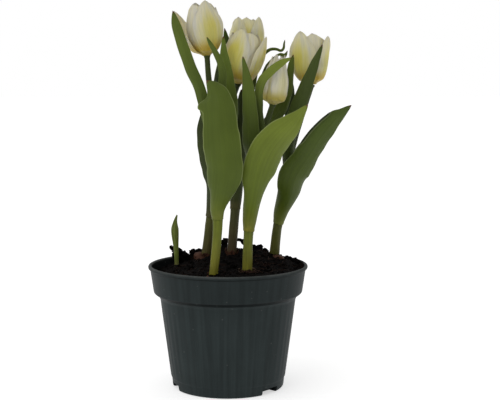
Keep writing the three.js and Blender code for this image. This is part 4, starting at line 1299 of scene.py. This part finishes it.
@dataclass(frozen=True)
class Leaf:
    """A leaf: a sheath that clasps the stem and opens into a blade with waved margins.

    Sheath rows are height on the stem, wrap, turn and play. Blade rows are x, y and z of the midrib,
    flat width, turn and wrap. The wave is its height, its crests and its phase.
    """

    name: str
    tone: Tone
    wave: Triple
    sheath: Rows
    blade: Rows
    lobes: tuple[Lobe, ...] = ()
    hem: Hem | None = None
    ripple: float = 0.22
    keel: float = 0.45

    @property
    def stem(self) -> str:
        """The letter of its stem."""
        return self.name[-2]

    @cached_property
    def spline(self) -> RowSpline:
        """The midrib with the blade's width, turn and wrap."""
        stalk, size = STALKS[self.stem], LEAF_SIZE
        columns = size.columns if max(row[3] for row in self.blade) > size.broad else size.narrow_columns
        rows = []
        for number, (height, wrap, turn, play) in enumerate(self.sheath):
            facet = cos(radians(wrap) / columns / 2)
            radius = (stalk.radius(height) + GAP + play) / facet + size.solid / 2
            if number == 0:
                radius = stalk.radius(height) + 0.6 * size.foot
            x, y = polar(radius, turn)
            axis = stalk.point(height)
            rows.append((axis.x - x, axis.y - y, height, radius * radians(wrap), turn, wrap))
        return RowSpline([*rows, *self.blade])

    @cached_property
    def seed(self) -> float:
        """A number of its own, from its name."""
        return sum(ord(letter) * (k + 1) for k, letter in enumerate(self.name)) * 0.137

    def folded(
        self, aside: float, half: float, edge: float, across: float, share: float
    ) -> Triple:
        """Turns a point near the margin back over the outer face.

        Args:
            aside: how far the point lies from the midrib along the blade.
            half: how far it lies off the blade's middle face.
            edge: how far the margin lies from the midrib.
            across: the point's place, 1 at the hemmed margin.
            share: its share of the leaf's length.

        Returns:
            The two distances in the hemmed blade, and how far it has turned over there, from 0 to 1.
        """
        hem = self.hem
        extra = hem.width * smooth(hem.start, hem.start + 0.12, share) * smooth(hem.end, hem.end - 0.1, share)
        past = aside * hem.side + extra * smooth(0.5, 1.0, across) - edge
        if extra < 0.05 or past <= 0:
            return aside + hem.side * extra * smooth(0.5, 1.0, across), half, 0.0
        turned = min(past / hem.roll, pi)
        back = max(past - pi * hem.roll, 0)
        shift = hem.roll * sin(turned) - back - half * sin(turned)
        out = hem.roll * (1 - cos(turned)) + half * cos(turned)
        return hem.side * (edge + shift), out, turned / pi

    def section_at(self, share: float) -> Section:
        """The leaf's section at a share of its length."""
        distance = self.spline.length * share
        x, y, z, width, azimuth, degrees = self.spline.at(distance)
        tangent = self.spline.tangent(distance)
        wrap = radians(degrees)
        flat = Vector((*polar(1.0, azimuth), 0.0))
        normal = (flat - tangent * flat.dot(tangent)).normalized()
        aside = tangent.cross(normal)
        radius = width / wrap
        centre = Vector((x, y, z)) + normal * radius
        height, crests, phase = self.wave
        swell = height * sin(pi * share) * smooth(0.12, 0.4, share)
        open_share = smooth(0.15, 0.4, share)
        tip = end_cap(share, 0.0, 0.035)
        thick = 0.5 * lerp(LEAF_SIZE.foot, LEAF_SIZE.thickness, smooth(0, 0.07, share))
        thick *= end_cap(share, 0.006, 0.05)
        ripple = self.ripple * open_share * smooth(1.0, 0.85, share)
        keel = self.keel * lerp(1.0, 0.4, share) * open_share
        flare = LEAF_SIZE.flare * smooth(0.03, 0.0, share)

        def section(turn: float) -> Placed:
            """The place at a turn."""
            across, face = sheet_place(turn)
            rim = across**2
            waves = swell * rim * sin(tau * crests * share + phase + (1.3 if across > 0 else 0))
            waves += ripple * rim**2 * sin(tau * 3.1 * crests * share + 2 * phase + 2.1 * across)
            waves += 0.5 * open_share * noise.noise(Vector((across * 1.4, share * 5, self.seed)))
            waves += keel * bell(across, 0.13) + flare * (1 + noise.noise(Vector((across * 2, 0, self.seed))))
            stretch = 1.0
            for lobe in self.lobes:
                near = bell(share - lobe.centre, lobe.reach) * smooth(0.35, 1.0, across * lobe.side)
                stretch += lobe.push * near / (radius * wrap / 2)
                waves += lobe.fold * near
            half = thick * copysign(abs(face) ** 0.6, face)
            aside_by, out_by, turned = across * width / 2 * tip * stretch, half, 0.0
            if self.hem:
                edge = width / 2 * tip
                aside_by, out_by, turned = self.folded(aside_by, half, edge, across * self.hem.side, share)
            r = radius + waves + out_by
            angle = aside_by / radius
            point = centre - normal * (r * cos(angle)) + aside * (r * sin(angle))
            return Placed(point, across, share, face - 2 * turned, self.seed)

        return section

    def build(self) -> None:
        """Makes the leaf."""
        bm = new_mesh()
        broad = max(row[3] for row in self.blade) > LEAF_SIZE.broad
        loft(bm, 56 if broad else 36, 110 if broad else 90, self.section_at, crowd=0.6)
        add_piece(f"{self.name}_blade", bm, self.tone.value, (self.name,))


@dataclass(frozen=True)
class LeafSize:
    """What all leaves share."""

    solid: float = 1.0  # thickness of the solids
    thickness: float = 0.9  # in the middle; the margins run out thin
    foot: float = 0.4  # thickness where the sheath starts
    flare: float = 0.3  # how far its foot stands off the stem
    columns: int = 6
    narrow_columns: int = 4
    broad: float = 12.0


LEAF_SIZE = LeafSize()


class Whorl(Enum):
    """The two rings of petals."""

    INNER = 0
    OUTER = 1


@dataclass(frozen=True)
class Cup:
    """The form that all blooms share, by height from 0 to 1."""

    open_radius: Profile = Profile(
        (0, 0.3), (0.06, 0.52), (0.13, 0.68), (0.24, 0.83), (0.4, 0.95), (0.58, 1), (0.76, 0.97), (0.9, 0.9),
        (1, 0.84),
    )
    bud_radius: Profile = Profile(
        (0, 0.4), (0.06, 0.8), (0.13, 0.92), (0.24, 1.0), (0.4, 1.0), (0.58, 0.94), (0.76, 0.8), (0.9, 0.66),
        (1, 0.54),
    )
    inner_spread: Profile = Profile(
        (0, 50), (0.06, 53), (0.13, 55), (0.24, 57), (0.4, 57.6), (0.58, 57), (0.76, 55), (0.9, 50),
        (0.96, 43), (1, 32),
    )
    outer_spread: Profile = Profile(
        (0, 41), (0.06, 43.5), (0.13, 45), (0.24, 46.7), (0.4, 47.2), (0.58, 46), (0.76, 40), (0.9, 29),
        (0.96, 20), (1, 10),
    )
    pistil_radius: Profile = Profile(
        (0, 0), (0.03, 2.2), (0.2, 2.9), (0.6, 2.7), (0.82, 2.1), (0.9, 3.1), (0.97, 3), (1, 0)
    )
    pistil_height: float = 17.0
    stamen_radius: Profile = Profile(
        (0, 0), (0.03, 0.7), (0.4, 0.35), (0.46, 0.35), (0.52, 1.15), (0.9, 1), (1, 0)
    )
    crown: float = 0.1  # how much lower a petal ends at its margins than in its middle
    claw: float = 3.1  # radius of the petals' feet
    whorl_gap: float = 1.2
    thickness: float = 0.9


CUP = Cup()


@dataclass(frozen=True)
class Bloom:
    """A flower: three inner and three outer petals round a pistil and six stamens.

    A petal is its height factor, the outward lean of its tip, its width factor, how strong its flame is, how
    many degrees its tip is turned and how far it bulges: three inner petals, then three outer ones.
    """

    name: str
    top: Triple
    girth: float
    mouth: float
    turn: float
    petals: Rows
    finish: Finish
    is_open: bool = True

    @property
    def stem(self) -> str:
        """The letter of its stem."""
        return self.name[-1]

    @cached_property
    def base(self) -> Vector:
        """The seat on the stem."""
        return Vector(STALKS[self.stem].route[-1])

    @cached_property
    def axes(self) -> tuple[Vector, Vector, Vector]:
        """Two directions across the bloom and its axis."""
        axis = (Vector(self.top) - self.base).normalized()
        aside = (Vector((0, 1, 0)) - axis * axis.y).normalized()
        return aside.cross(axis), aside, axis

    def place(self, radius: float, azimuth: float, up: float) -> Vector:
        """A point by its radius, its azimuth in radians and its height over the seat."""
        along, aside, axis = self.axes
        return self.base + axis * up + along * (radius * cos(azimuth)) + aside * (radius * sin(azimuth))

    def petal(self, bm: BMesh, index: int) -> None:
        """Adds one petal."""
        tall, lean, wide, flame, twist, bulge = self.petals[index]
        profile = CUP.open_radius if self.is_open else CUP.bud_radius
        whorl = Whorl.OUTER if index >= 3 else Whorl.INNER
        outer = whorl is Whorl.OUTER
        azimuth = radians(self.turn + (index % 3) * 120 + (60 if outer else 0))
        height = (Vector(self.top) - self.base).length
        seed = index * 3.7 + ord(self.stem)
        foot = -0.5

        def section_at(share: float) -> Section:
            """The petal's section at a share of its height."""
            closing = lerp(1, self.mouth / (profile(1) * self.girth), smooth(0.5, 1, share))
            reach = profile(share) * self.girth * closing
            start = CUP.claw if outer else CUP.claw - 0.7
            grown = smooth(-0.01, 0.1, share)
            radius = lerp(start, reach - (0 if outer else CUP.whorl_gap), grown)
            radius += lean * share**1.6 + bulge * sin(pi * share)
            spread = (CUP.outer_spread if outer else CUP.inner_spread)(share)
            spread = radians(spread) * lerp(1, wide, smooth(0, 0.4, share))
            spread *= end_cap(share, 0.0, 0.045) ** 0.8
            up = foot + (height * tall - foot) * share
            drop = CUP.crown * height * smooth(0.35, 1, share) * min(spread / radians(32), 1.0) ** 1.5
            thick = 0.5 * CUP.thickness * end_cap(share, 0.01, 0.03)
            free = smooth(0.3, 0.9, share)

            def section(turn: float) -> Placed:
                """The place at a turn."""
                across, face = sheet_place(turn)
                rim = abs(across)
                ruffle = 0.55 * free * rim**2 * noise.noise(Vector((across * 1.5, share * 4, seed)))
                crease = -0.3 * bell(across, 0.12) * smooth(0.1, 0.5, share) * (1.0 if outer else 0.6)
                curl = (0.1 if outer else -0.3) * free * rim**5
                notch = 0.9 * free * noise.noise(Vector((across * 2.3, 7.0, seed)))
                half = thick * copysign(abs(face) ** 0.55, face)
                level = up - drop * across**2 + notch * smooth(0.8, 1, share)
                turned = azimuth + radians(twist) * share + across * spread
                point = self.place(radius + half + ruffle + crease + curl, turned, level)
                return Placed(point, across, share, face, flame)

            return section

        loft(bm, 44, 56, section_at, crowd=0.55)

    def pistil_section(self, share: float) -> Section:
        """A section of the three-sided ovary or of the stigma's lobes over it."""
        axis = self.axes[2]
        ribs = lerp(0.07, 0.26, smooth(0.8, 0.9, share))
        point = self.base + axis * (CUP.pistil_height * share)
        return bar_section(point, axis, CUP.pistil_radius(share), share, ribs=ribs)

    def stamen(self, bm: BMesh, index: int) -> None:
        """Adds one stamen: a filament and, on it, the long anther."""
        azimuth = radians(self.turn + 60 * index + 20)
        lean = 3.9 + 0.7 * noise.noise(Vector((index, ord(self.stem), 0)))
        tall = 16.0 + 1.2 * noise.noise(Vector((index, ord(self.stem), 5)))

        def section_at(share: float) -> Section:
            """The stamen's section at a share of its length."""
            point = self.place(2.9 + lean * smooth(0, 0.8, share), azimuth, 2.8 + tall * share)
            return bar_section(point, self.axes[2], CUP.stamen_radius(share), share, ribs=0.12, lobes=2)

        loft(bm, 10, 24, section_at)

    def build(self) -> None:
        """Makes the petals and, in an open bloom, what they stand round."""
        bm = new_mesh()
        for index in range(6):
            self.petal(bm, index)
        add_piece(f"{self.name}_petals", bm, self.finish, (self.name,))
        bm = new_mesh()
        loft(bm, 24, 40, self.pistil_section)
        add_piece(f"pistil_{self.stem}", bm, PISTIL, (f"stem_{self.stem}",))
        if self.is_open:
            bm = new_mesh()
            for index in range(6):
                self.stamen(bm, index)
            add_piece(f"stamens_{self.stem}", bm, STAMEN)


@dataclass(frozen=True)
class Shoot:
    """The young shoot: one leaf still rolled up, with a seam and a thin tip."""

    route: Rows = (
        (-43.7, 22, 90, 1.7), (-43.7, 22, 98, 1.8), (-44.2, 21.8, 112, 2.2),
        (-45, 21.5, 126.5, 3.2), (-44.6, 21.2, 133.5, 1.7), (-43.0, 21, 139.5, 0.5),
    )
    seam: float = 0.75  # depth of the seam
    seam_azimuth: float = 0.62  # its turn round the shoot

    def section_at(self, share: float) -> Section:
        """The shoot's section at a share of its length."""
        spline = RowSpline(self.route)
        distance = spline.length * share
        radius = spline.at(distance)[3] * end_cap(share, 0.02, 0.02)
        round_section = bar_section(spline.point(distance), spline.tangent(distance), radius, share)
        middle = spline.point(distance)

        def section(turn: float) -> Placed:
            """The place at a turn."""
            placed = round_section(turn)
            away = abs((turn - self.seam_azimuth - 0.08 * share + 0.5) % 1 - 0.5)
            depth = self.seam * bell(away, 0.045) * smooth(0.3, 0.6, share) * smooth(1.0, 0.85, share)
            lip = 0.35 * bell(away - 0.07, 0.03) * smooth(0.35, 0.7, share)
            outward = placed.point - middle
            factor = 1 + (lip - depth) / max(radius, 0.4) if radius > 0.3 else 1.0
            flat = Vector((outward.x, outward.y * 0.85, outward.z))
            return placed._replace(point=middle + flat * factor, across=2 * turn - 1, side=1.0)

        return section

    def build(self) -> None:
        """Makes the shoot."""
        bm = new_mesh()
        loft(bm, 64, 80, self.section_at)
        add_piece("young_shoot", bm, SHOOT_SKIN, ("shoot",))


# ---- The planting ----


PLASTIC = Plastic("moulded plastic", "pot_plastic")
PEAT = Peat("moist peat", "peat")
TUNIC = Papery("papery bulb skin", "bulb_tunic")
DRY_TUNIC = Papery("dry bulb skin", "bulb_tunic", dark=(0.030, 0.014, 0.009), light=(0.125, 0.070, 0.038))
FIBRE = Papery("root fibre", "peat", dark=(0.014, 0.006, 0.004), light=(0.060, 0.026, 0.015))
PISTIL = TwoTone("pistil", "stem_green", low=(0.34, 0.42, 0.12), high=(0.68, 0.58, 0.22), change=(0.78, 0.9))
STAMEN = TwoTone("stamen", "petal_cream", low=(0.60, 0.52, 0.16), high=(0.30, 0.19, 0.05), roughness=0.8)
SHOOT_SKIN = Skin(
    "young shoot skin", "leaf_bright",
    foot=(0.26, 0.22, 0.10), middle=(0.13, 0.17, 0.026), top=(0.12, 0.15, 0.026), blushed=0.1,
)
STEM_SKIN = Skin("stem skin", "stem_green")
BRIGHT_SKIN = Skin(
    "bright stem skin", "stem_green",
    foot=(0.200, 0.190, 0.018), middle=(0.112, 0.136, 0.012), top=(0.042, 0.058, 0.010), blushed=0.12,
)
OLIVE_SKIN = Skin(
    "olive stem skin", "stem_green",
    foot=(0.072, 0.062, 0.012), middle=(0.064, 0.068, 0.010), top=(0.036, 0.050, 0.010), blushed=0.45,
)
DARK_SKIN = Skin(
    "purple stem skin", "stem_dark",
    foot=(0.058, 0.038, 0.013), middle=(0.050, 0.052, 0.012), top=(0.034, 0.042, 0.010), blushed=0.35,
)
CREAM = Petal("cream petal", "petal_cream")
# A darker copy of the cream petal: painted shade, for the bloom nearest the lamp.
CREAM_SHADED = Petal(
    "cream petal, painted shade", "petal_cream", cream=(0.64, 0.58, 0.39), flame=(0.54, 0.47, 0.098), veil=(0.56, 0.53, 0.43)
)
# A lighter copy of the cream petal: painted light, for the bloom at the back.
CREAM_LIT = Petal(
    "cream petal, painted light", "petal_cream", cream=(0.75, 0.69, 0.43), flame=(0.64, 0.56, 0.10), veil=(0.68, 0.64, 0.47)
)
GOLD = Petal(
    "bud petal", "bud_gold", cream=(0.76, 0.70, 0.53), flame=(0.62, 0.55, 0.16), amber=(0.48, 0.38, 0.06),
    green=(0.42, 0.38, 0.10), flame_width=0.3,
)

POT = Pot()
SOIL = Soil()

STALKS = {stalk.name: stalk for stalk in (
    Stalk("a", OLIVE_SKIN, (
        (-19.3, 24, 103.5), (-17.2, 25, 119), (-15, 26, 137), (-8, 27, 172), (-0.8, 21, 210), (4.3, 9, 237),
        (8.4, 4, 249),
    )),
    Stalk("b", BRIGHT_SKIN, (
        (-10.9, -38, 98.5), (-8.3, -37, 123.5), (-7.4, -35, 143.5), (-9, -29, 181), (-11, -21, 220),
        (-15, -11, 253), (-16.5, -6, 271.5),
    ), slimness=0.86),
    Stalk("c", DARK_SKIN, (
        (2.5, 22, 105.8), (4.1, 24, 126), (5.7, 26, 145), (7.6, 30, 172), (10.5, 33, 201), (12.6, 35, 231),
        (14.3, 37, 257.5),
    )),
    Stalk("d", BRIGHT_SKIN, (
        (15.7, -23, 99), (16.9, -22, 130), (20.3, -18, 164), (25.5, -13, 195.5), (31.6, -8, 218),
        (36.4, -5, 232.5),
    )),
    Stalk("e", STEM_SKIN, (
        (38.4, 25, 104), (41.2, 23, 129.5), (48.1, 20, 160), (53, 18, 194), (61.1, 18, 223),
        (69.4, 20, 248.4),
    ), slimness=1.08),
)}

BULBS = (
    Bulb("a", lean=(-2.6, 0.0), rise=3.4, flake_curl=(0.2, 1.2)),
    Bulb("b", flakes=3, flake_height=2.0),
    Bulb("c", flakes=7, flake_height=5.0, flake_curl=(0.2, 1.2)),
    Bulb("d", flakes=9, flake_height=2.6, flake_curl=(0.8, 3.0), is_dry=True),
    Bulb("e", lean=(2.2, -7.0), rise=1.0, flakes=2, flake_height=2.5),
)

LEAVES = (  # name, tone, wave, sheath rows, blade rows
    Leaf("leaf_a1", Tone.DARK, (0.5, 2.5, 0.4), ((137, 250, 75, 0.2), (147, 190, 78, 1.2)), (
        (-13.6, 20.3, 162, 12, 82, 110), (-15, 21, 176, 14.5, 85, 80), (-18.3, 22, 195, 16, 88, 70),
        (-18.8, 23, 212, 15, 88, 60), (-17, 24, 225, 10, 88, 50), (-15.3, 24.5, 235, 1.6, 88, 40),
    )),
    Leaf("leaf_a2", Tone.DEEP, (0.2, 2, 0), ((160, 210, 320, 0.2), (168, 170, 318, 1)), (
        (-14, 37, 184, 9, 310, 110), (-15.5, 38, 202, 10, 312, 80), (-14.5, 34.5, 222, 10.5, 315, 60),
        (-11.4, 28, 243, 10, 316, 55), (-6.5, 20, 263, 9, 308, 50), (-1.8, 16, 280, 8, 300, 45),
        (-2.8, 15, 294, 1.5, 300, 40),
    )),
    Leaf("leaf_a3", Tone.LIT, (0.3, 2, 1), ((190, 220, 100, 0.2), (197, 170, 98, 0.8)), (
        (0.5, 10.5, 212, 15, 92, 95), (0.6, -1, 229, 17, 90, 75), (-0.5, -9, 246, 14, 90, 62),
        (-1.6, -14, 262, 10, 90, 55), (-2.7, -16.5, 275, 5.2, 90, 50), (-3, -17.5, 286, 1.8, 90, 40),
    )),
    Leaf("leaf_b1", Tone.MIDDLE, (1, 3.2, 2.2), ((142, 280, 90, 0.2), (150, 220, 90, 1.6)), (
        (-4.3, -45.6, 165, 27, 88, 130), (-2.3, -48.4, 181, 32.4, 86, 92), (-3.2, -49, 198, 30.8, 86, 74),
        (-5, -48, 213, 29.2, 88, 64), (-5.5, -46, 228, 27.4, 90, 60), (-7.4, -43, 240, 19.4, 90, 55),
        (-10.8, -41.5, 246, 11.6, 90, 48), (-15.8, -40, 251.3, 2, 90, 40),
    ), lobes=(Lobe(1, 0.805, 0.027, 4.3, 0.6), Lobe(1, 0.845, 0.027, 4.8, 0.8))),
    Leaf("leaf_b2", Tone.DEEP, (0.2, 2, 0.5), ((184, 210, 65, 0.2), (192, 160, 65, 0.8)), (
        (-14, -28, 212, 9.5, 75, 85), (-17.5, -26.5, 228, 9.6, 80, 65), (-21.3, -26, 244, 9.2, 82, 55),
        (-28.8, -25, 261, 9.8, 84, 55), (-35.2, -23, 279, 9, 84, 50), (-40.2, -21, 295, 7.2, 84, 45),
        (-42.8, -19, 306, 1.4, 84, 40),
    )),
    Leaf("leaf_b3", Tone.DEEP, (0.1, 2, 0), ((216, 210, 110, 0.2), (222, 170, 108, 0.6)), (
        (-5.5, -25.5, 238, 7.5, 100, 80), (-3.4, -27, 252, 6.6, 95, 60), (-4.4, -27.5, 262, 5.8, 92, 55),
        (-8, -27.5, 271, 4.8, 90, 50), (-12, -27.5, 278, 3.6, 90, 45), (-15.8, -27, 285, 1.3, 90, 40),
    )),
    Leaf("leaf_c1", Tone.DARK, (0.2, 2, 0), ((144, 270, 90, 0.2), (158, 240, 90, 0.8)), (
        (7.4, 22.5, 176, 13.2, 90, 130), (8.8, 21.5, 192, 13.2, 90, 90), (9.6, 22, 207, 11, 90, 70),
        (9.8, 22.5, 222, 8.8, 90, 60), (10.6, 23, 235, 5.6, 90, 50), (10.8, 23.2, 244, 1.6, 90, 40),
    )),
    Leaf("leaf_c2", Tone.DEEP, (0.15, 2, 0), ((176, 210, 170, 0.2), (184, 170, 160, 0.9)), (
        (20.5, 27, 198, 12, 130, 90), (32.5, 19.5, 213, 13, 112, 70), (43, 13.5, 228, 11.4, 100, 58),
        (48.6, 10.8, 241, 8.2, 95, 50), (50.6, 9.4, 253, 6.2, 90, 45), (51.4, 8.6, 263, 5.2, 90, 40),
        (53.4, 8, 272.4, 1.3, 90, 35),
    )),
    Leaf("leaf_c3", Tone.DEEP, (0.1, 2, 0), ((196, 200, 135, 0.2), (202, 160, 132, 0.5)), (
        (17.5, 25, 217, 4.6, 115, 70), (23, 19, 236, 4.4, 105, 50), (27.8, 15, 253, 3, 100, 45),
        (31.2, 13.6, 262.6, 1.9, 95, 45), (34.7, 13.2, 267, 1.7, 90, 40), (38.8, 13, 270.6, 1.8, 90, 35),
        (42.8, 13, 272.6, 2.4, 90, 30), (45.6, 12.8, 271.2, 4.4, 90, 30), (47.2, 12.6, 272.4, 2.6, 90, 30),
        (48.8, 12.4, 275.6, 1, 90, 30),
    )),
    Leaf("leaf_c4", Tone.DEEP, (0.1, 2, 0), ((216, 200, 160, 0.2), (222, 160, 150, 0.5)), (
        (18.6, 30, 234, 4, 110, 70), (20.6, 25.5, 245, 3.8, 100, 50), (22.6, 22.5, 256, 3.6, 95, 45),
        (25.2, 21.5, 266.5, 3.2, 90, 45), (28.4, 21, 271.6, 3, 90, 40), (31.3, 20.8, 274.6, 2.8, 90, 40),
        (35, 20.6, 276.8, 2.6, 90, 40), (39.6, 20.3, 277, 2.4, 90, 35), (43.8, 20, 275.8, 2.2, 90, 35),
        (45.8, 19.8, 277.8, 2, 90, 35), (46.2, 19.6, 281.2, 1.6, 90, 30), (46.9, 19.4, 284.8, 0.8, 90, 30),
    )),
    Leaf("leaf_d1", Tone.BRIGHT, (0.9, 2.6, 0.2), ((131, 290, 100, 0.2), (141, 230, 100, 1.4)), (
        (21.6, -34.5, 158, 19.2, 105, 130), (25.7, -39, 178, 28, 108, 92), (32.1, -40.5, 195, 31, 112, 78),
        (41.7, -40, 208, 26.4, 114, 68), (51.1, -38, 217.5, 17.6, 114, 58),
        (58.2, -34.5, 225.8, 8.2, 112, 50), (63.5, -32, 232.4, 1.8, 110, 40),
    )),
    Leaf("leaf_d2", Tone.DEEP, (0.4, 2.5, 1.2), ((168, 220, 55, 0.2), (178, 170, 58, 1)), (
        (18.4, -26, 196, 14.6, 70, 95), (18.2, -26.6, 212, 14.4, 78, 75), (17.8, -26.4, 228, 12.8, 84, 62),
        (16.8, -25.8, 244, 9.7, 88, 56), (15.1, -25.4, 256, 6.4, 90, 50), (12.4, -26, 270, 1.5, 90, 40),
    )),
    Leaf("leaf_d3", Tone.SHADED_BELOW, (0.1, 2, 0), ((198, 210, 115, 0.2), (204, 140, 112, 0.8)), (
        (26, -17, 221, 7, 100, 80), (25, -18.5, 234, 7, 92, 65), (25.3, -19.5, 244, 7, 90, 55),
        (28.4, -20.3, 252.2, 7.4, 90, 50), (34.6, -20.3, 258.6, 7, 90, 50),
        (42.4, -19.6, 264.6, 5.8, 90, 45), (51, -18.5, 269, 1.4, 90, 40),
    )),
    Leaf("leaf_e1", Tone.SHADED, (0.4, 2.4, 2.4), ((131, 280, 100, 1.0), (141, 230, 102, 1.8)), (
        (51.2, 6, 157, 24, 106, 125), (55, -3, 173.6, 28.2, 108, 92), (65.8, -9, 191.2, 22.4, 112, 76),
        (75.8, -11, 207, 18.8, 114, 66), (86, -10, 219.4, 13.6, 114, 58), (99.8, -7, 231.5, 1.8, 112, 40),
    ), hem=Hem(1, 0.52, 0.93, 3.6)),
    Leaf("leaf_e2", Tone.DUSKY, (0.3, 2.2, 0), ((170, 220, 95, 0.2), (178, 180, 92, 1)), (
        (49.5, 9, 196, 11, 88, 100), (51.5, 1, 211, 12.6, 86, 75), (55, -4, 225, 13, 85, 66),
        (60.3, -7, 240, 12, 86, 60), (65.5, -8, 253, 10, 88, 56), (71, -7.2, 267, 6.4, 90, 50),
        (76.3, -5.5, 280, 1.4, 90, 40),
    )),
    Leaf("leaf_e3", Tone.DUSKY, (0.1, 2, 0), ((192, 200, 320, 0.2), (199, 160, 318, 0.6)), (
        (51, 25, 212, 9.6, 300, 75), (50.8, 24, 231, 9.8, 292, 60), (51.8, 22.5, 245, 6, 292, 50),
        (51.3, 21.5, 255, 1.5, 315, 40),
    )),
)

BLOOMS = (
    Bloom("bloom_a", top=(16, 4, 291.5), girth=16.2, mouth=13, turn=287, finish=CREAM, petals=(
        (0.96, 0, 1, 0.1, 0, 0), (0.96, 0.4, 1, 0.35, 0, 0), (0.92, 0, 0.95, 0.35, 0, 0),
        (0.94, 3.4, 1.04, 1.5, -2, 0), (0.96, 0.3, 1, 0.8, 0, 0), (1.0, 0.3, 1.06, 1.4, 24, 0),
    )),
    Bloom("bloom_b", top=(-20.4, -6, 314), girth=15.5, mouth=12, turn=243, finish=CREAM_SHADED, petals=(
        (0.95, 0.5, 1.05, 0.1, -8, 0), (0.87, -0.4, 1, 0.2, 0, 0), (1.0, 0, 1, 0.3, 0, 0),
        (0.99, 0.2, 1.22, 1.0, -20, 0), (0.97, 0, 1, 0.9, 0, 0), (0.87, 12, 1.1, 0.1, -22, 2.5),
    )),
    Bloom("bloom_c", top=(15.8, 37, 304), girth=14.6, mouth=12.6, turn=267, finish=CREAM_LIT, petals=(
        (0.98, 0, 1.3, 1.6, 0, 0), (0.98, 0, 1, 0.6, 36, 0), (0.97, 0, 1, 0.8, 0, 0),
        (1.0, 0.3, 1, 0.8, -8, 0), (0.96, 0, 1, 1.0, 0, 0), (0.98, 0.3, 1.1, 0.9, 30, 0),
    )),
    Bloom("bud_d", top=(41.2, -5, 271.8), girth=10.4, mouth=4.8, turn=245, finish=GOLD, petals=(
        (1.0, 0, 1, 0.5, 0, 0), (1.0, 1.2, 1, 0.6, 0, 0), (1.0, 0, 1, 0.6, 0, 0),
        (0.97, 0, 1.15, 0.5, 0, 0), (0.98, 1.6, 1.1, 0.8, 0, 0), (0.95, 0, 1.1, 1.0, 0, 0),
    ), is_open=False),
    Bloom("bloom_e", top=(65.9, 20, 290.5), girth=15.8, mouth=14.4, turn=281, finish=CREAM, petals=(
        (0.96, 0.4, 1, 0.2, 0, 0), (0.9, 0, 1, 0.4, 0, 0), (0.86, 0, 0.9, 0.3, 0, 1.2),
        (0.89, 3, 1.06, 1.0, -8, -2), (0.93, 0.5, 1, 0.9, 0, 0), (1.02, -1, 1.15, 1.0, 17, 1.4),
    )),
)


# ---- Studio ----


@dataclass(frozen=True)
class Studio:
    """A pale floor, even light from all round and the camera. Lengths are in metres."""

    camera_at: Triple = (0.01807, -0.9199, 0.2487)
    pitch: float = 84.12  # from straight down
    lens: float = 81.36
    sensor: float = 36.0
    floor_size: float = 40.0
    front_light: float = 0.39
    back_light: float = 0.48
    top_light: float = 0.27
    left_light: float = 0.12
    lamp_at: Triple = (-0.75, -0.75, 1.25)
    lamp_aim: Triple = (0.0, 0.0, 0.17)
    lamp_size: float = 1.4
    lamp_watts: float = 4.8

    def build_floor(self) -> None:
        """Lays the floor."""
        bm = bmesh.new()
        bmesh.ops.create_grid(bm, x_segments=1, y_segments=1, size=self.floor_size / 2)
        mesh = bpy.data.meshes.new("floor")
        bm.to_mesh(mesh)
        bm.free()
        mesh.materials.append(Ground("pale floor", "").material())
        floor = stand("floor", mesh)

    def build_sky(self) -> None:
        """Fills the room with soft light, brighter from behind, above and the left; its walls look white."""
        world = bpy.data.worlds.new("white room")
        world.use_nodes = True
        graph = Graph(world.node_tree)
        way = graph.node("ShaderNodeTexCoord").outputs["Generated"]
        light = graph.fade(graph.axis(way, "Y"), -1.0, 1.0, self.front_light, self.back_light)
        light = graph.math("ADD", light, graph.fade(graph.axis(way, "Z"), 0.0, 1.0, 0.0, self.top_light))
        light = graph.math("ADD", light, graph.fade(graph.axis(way, "X"), 1.0, -1.0, 0.0, self.left_light))
        seen = graph.node("ShaderNodeLightPath").outputs["Is Camera Ray"]
        white = graph.math("MULTIPLY_ADD", seen, graph.math("SUBTRACT", 1.0, light), light)
        graph.plug(world.node_tree.nodes["Background"], {"Color": (1.0, 1.0, 1.0), "Strength": white})
        bpy.context.scene.world = world

    def build_camera(self) -> None:
        """Sets up the camera in front of the pot, a little above the leaves."""
        data = bpy.data.cameras.new("front camera")
        data.lens, data.sensor_width, data.clip_start, data.clip_end = self.lens, self.sensor, 0.01, 100.0
        camera = stand("front camera", data)
        camera.location = self.camera_at
        camera.rotation_euler = (radians(self.pitch), 0.0, 0.0)
        bpy.context.scene.camera = camera

    def build_lamp(self) -> None:
        """Hangs a large soft lamp at the left that looks at the plants."""
        data = bpy.data.lights.new("key", "AREA")
        data.shape, data.size, data.energy = "SQUARE", self.lamp_size, self.lamp_watts
        lamp = stand("key", data)
        lamp.location = self.lamp_at
        lamp.rotation_euler = (Vector(self.lamp_aim) - lamp.location).to_track_quat("-Z", "Y").to_euler()

    def build(self) -> None:
        """Sets up the floor, the light and the camera."""
        self.build_floor()
        self.build_sky()
        self.build_camera()
        self.build_lamp()
        bpy.context.scene.view_settings.view_transform = "Standard"


def main() -> None:
    """Builds the planting and the studio; each piece's face count is logged as it is made."""
    logging.basicConfig(level=logging.INFO, format="%(name)s: %(message)s")
    POT.build()
    SOIL.build()
    Litter().build()
    for part in (*BULBS, *STALKS.values(), *LEAVES, *BLOOMS):
        part.build()
    Shoot().build()
    Studio().build()


if __name__ == "__main__":
    main()
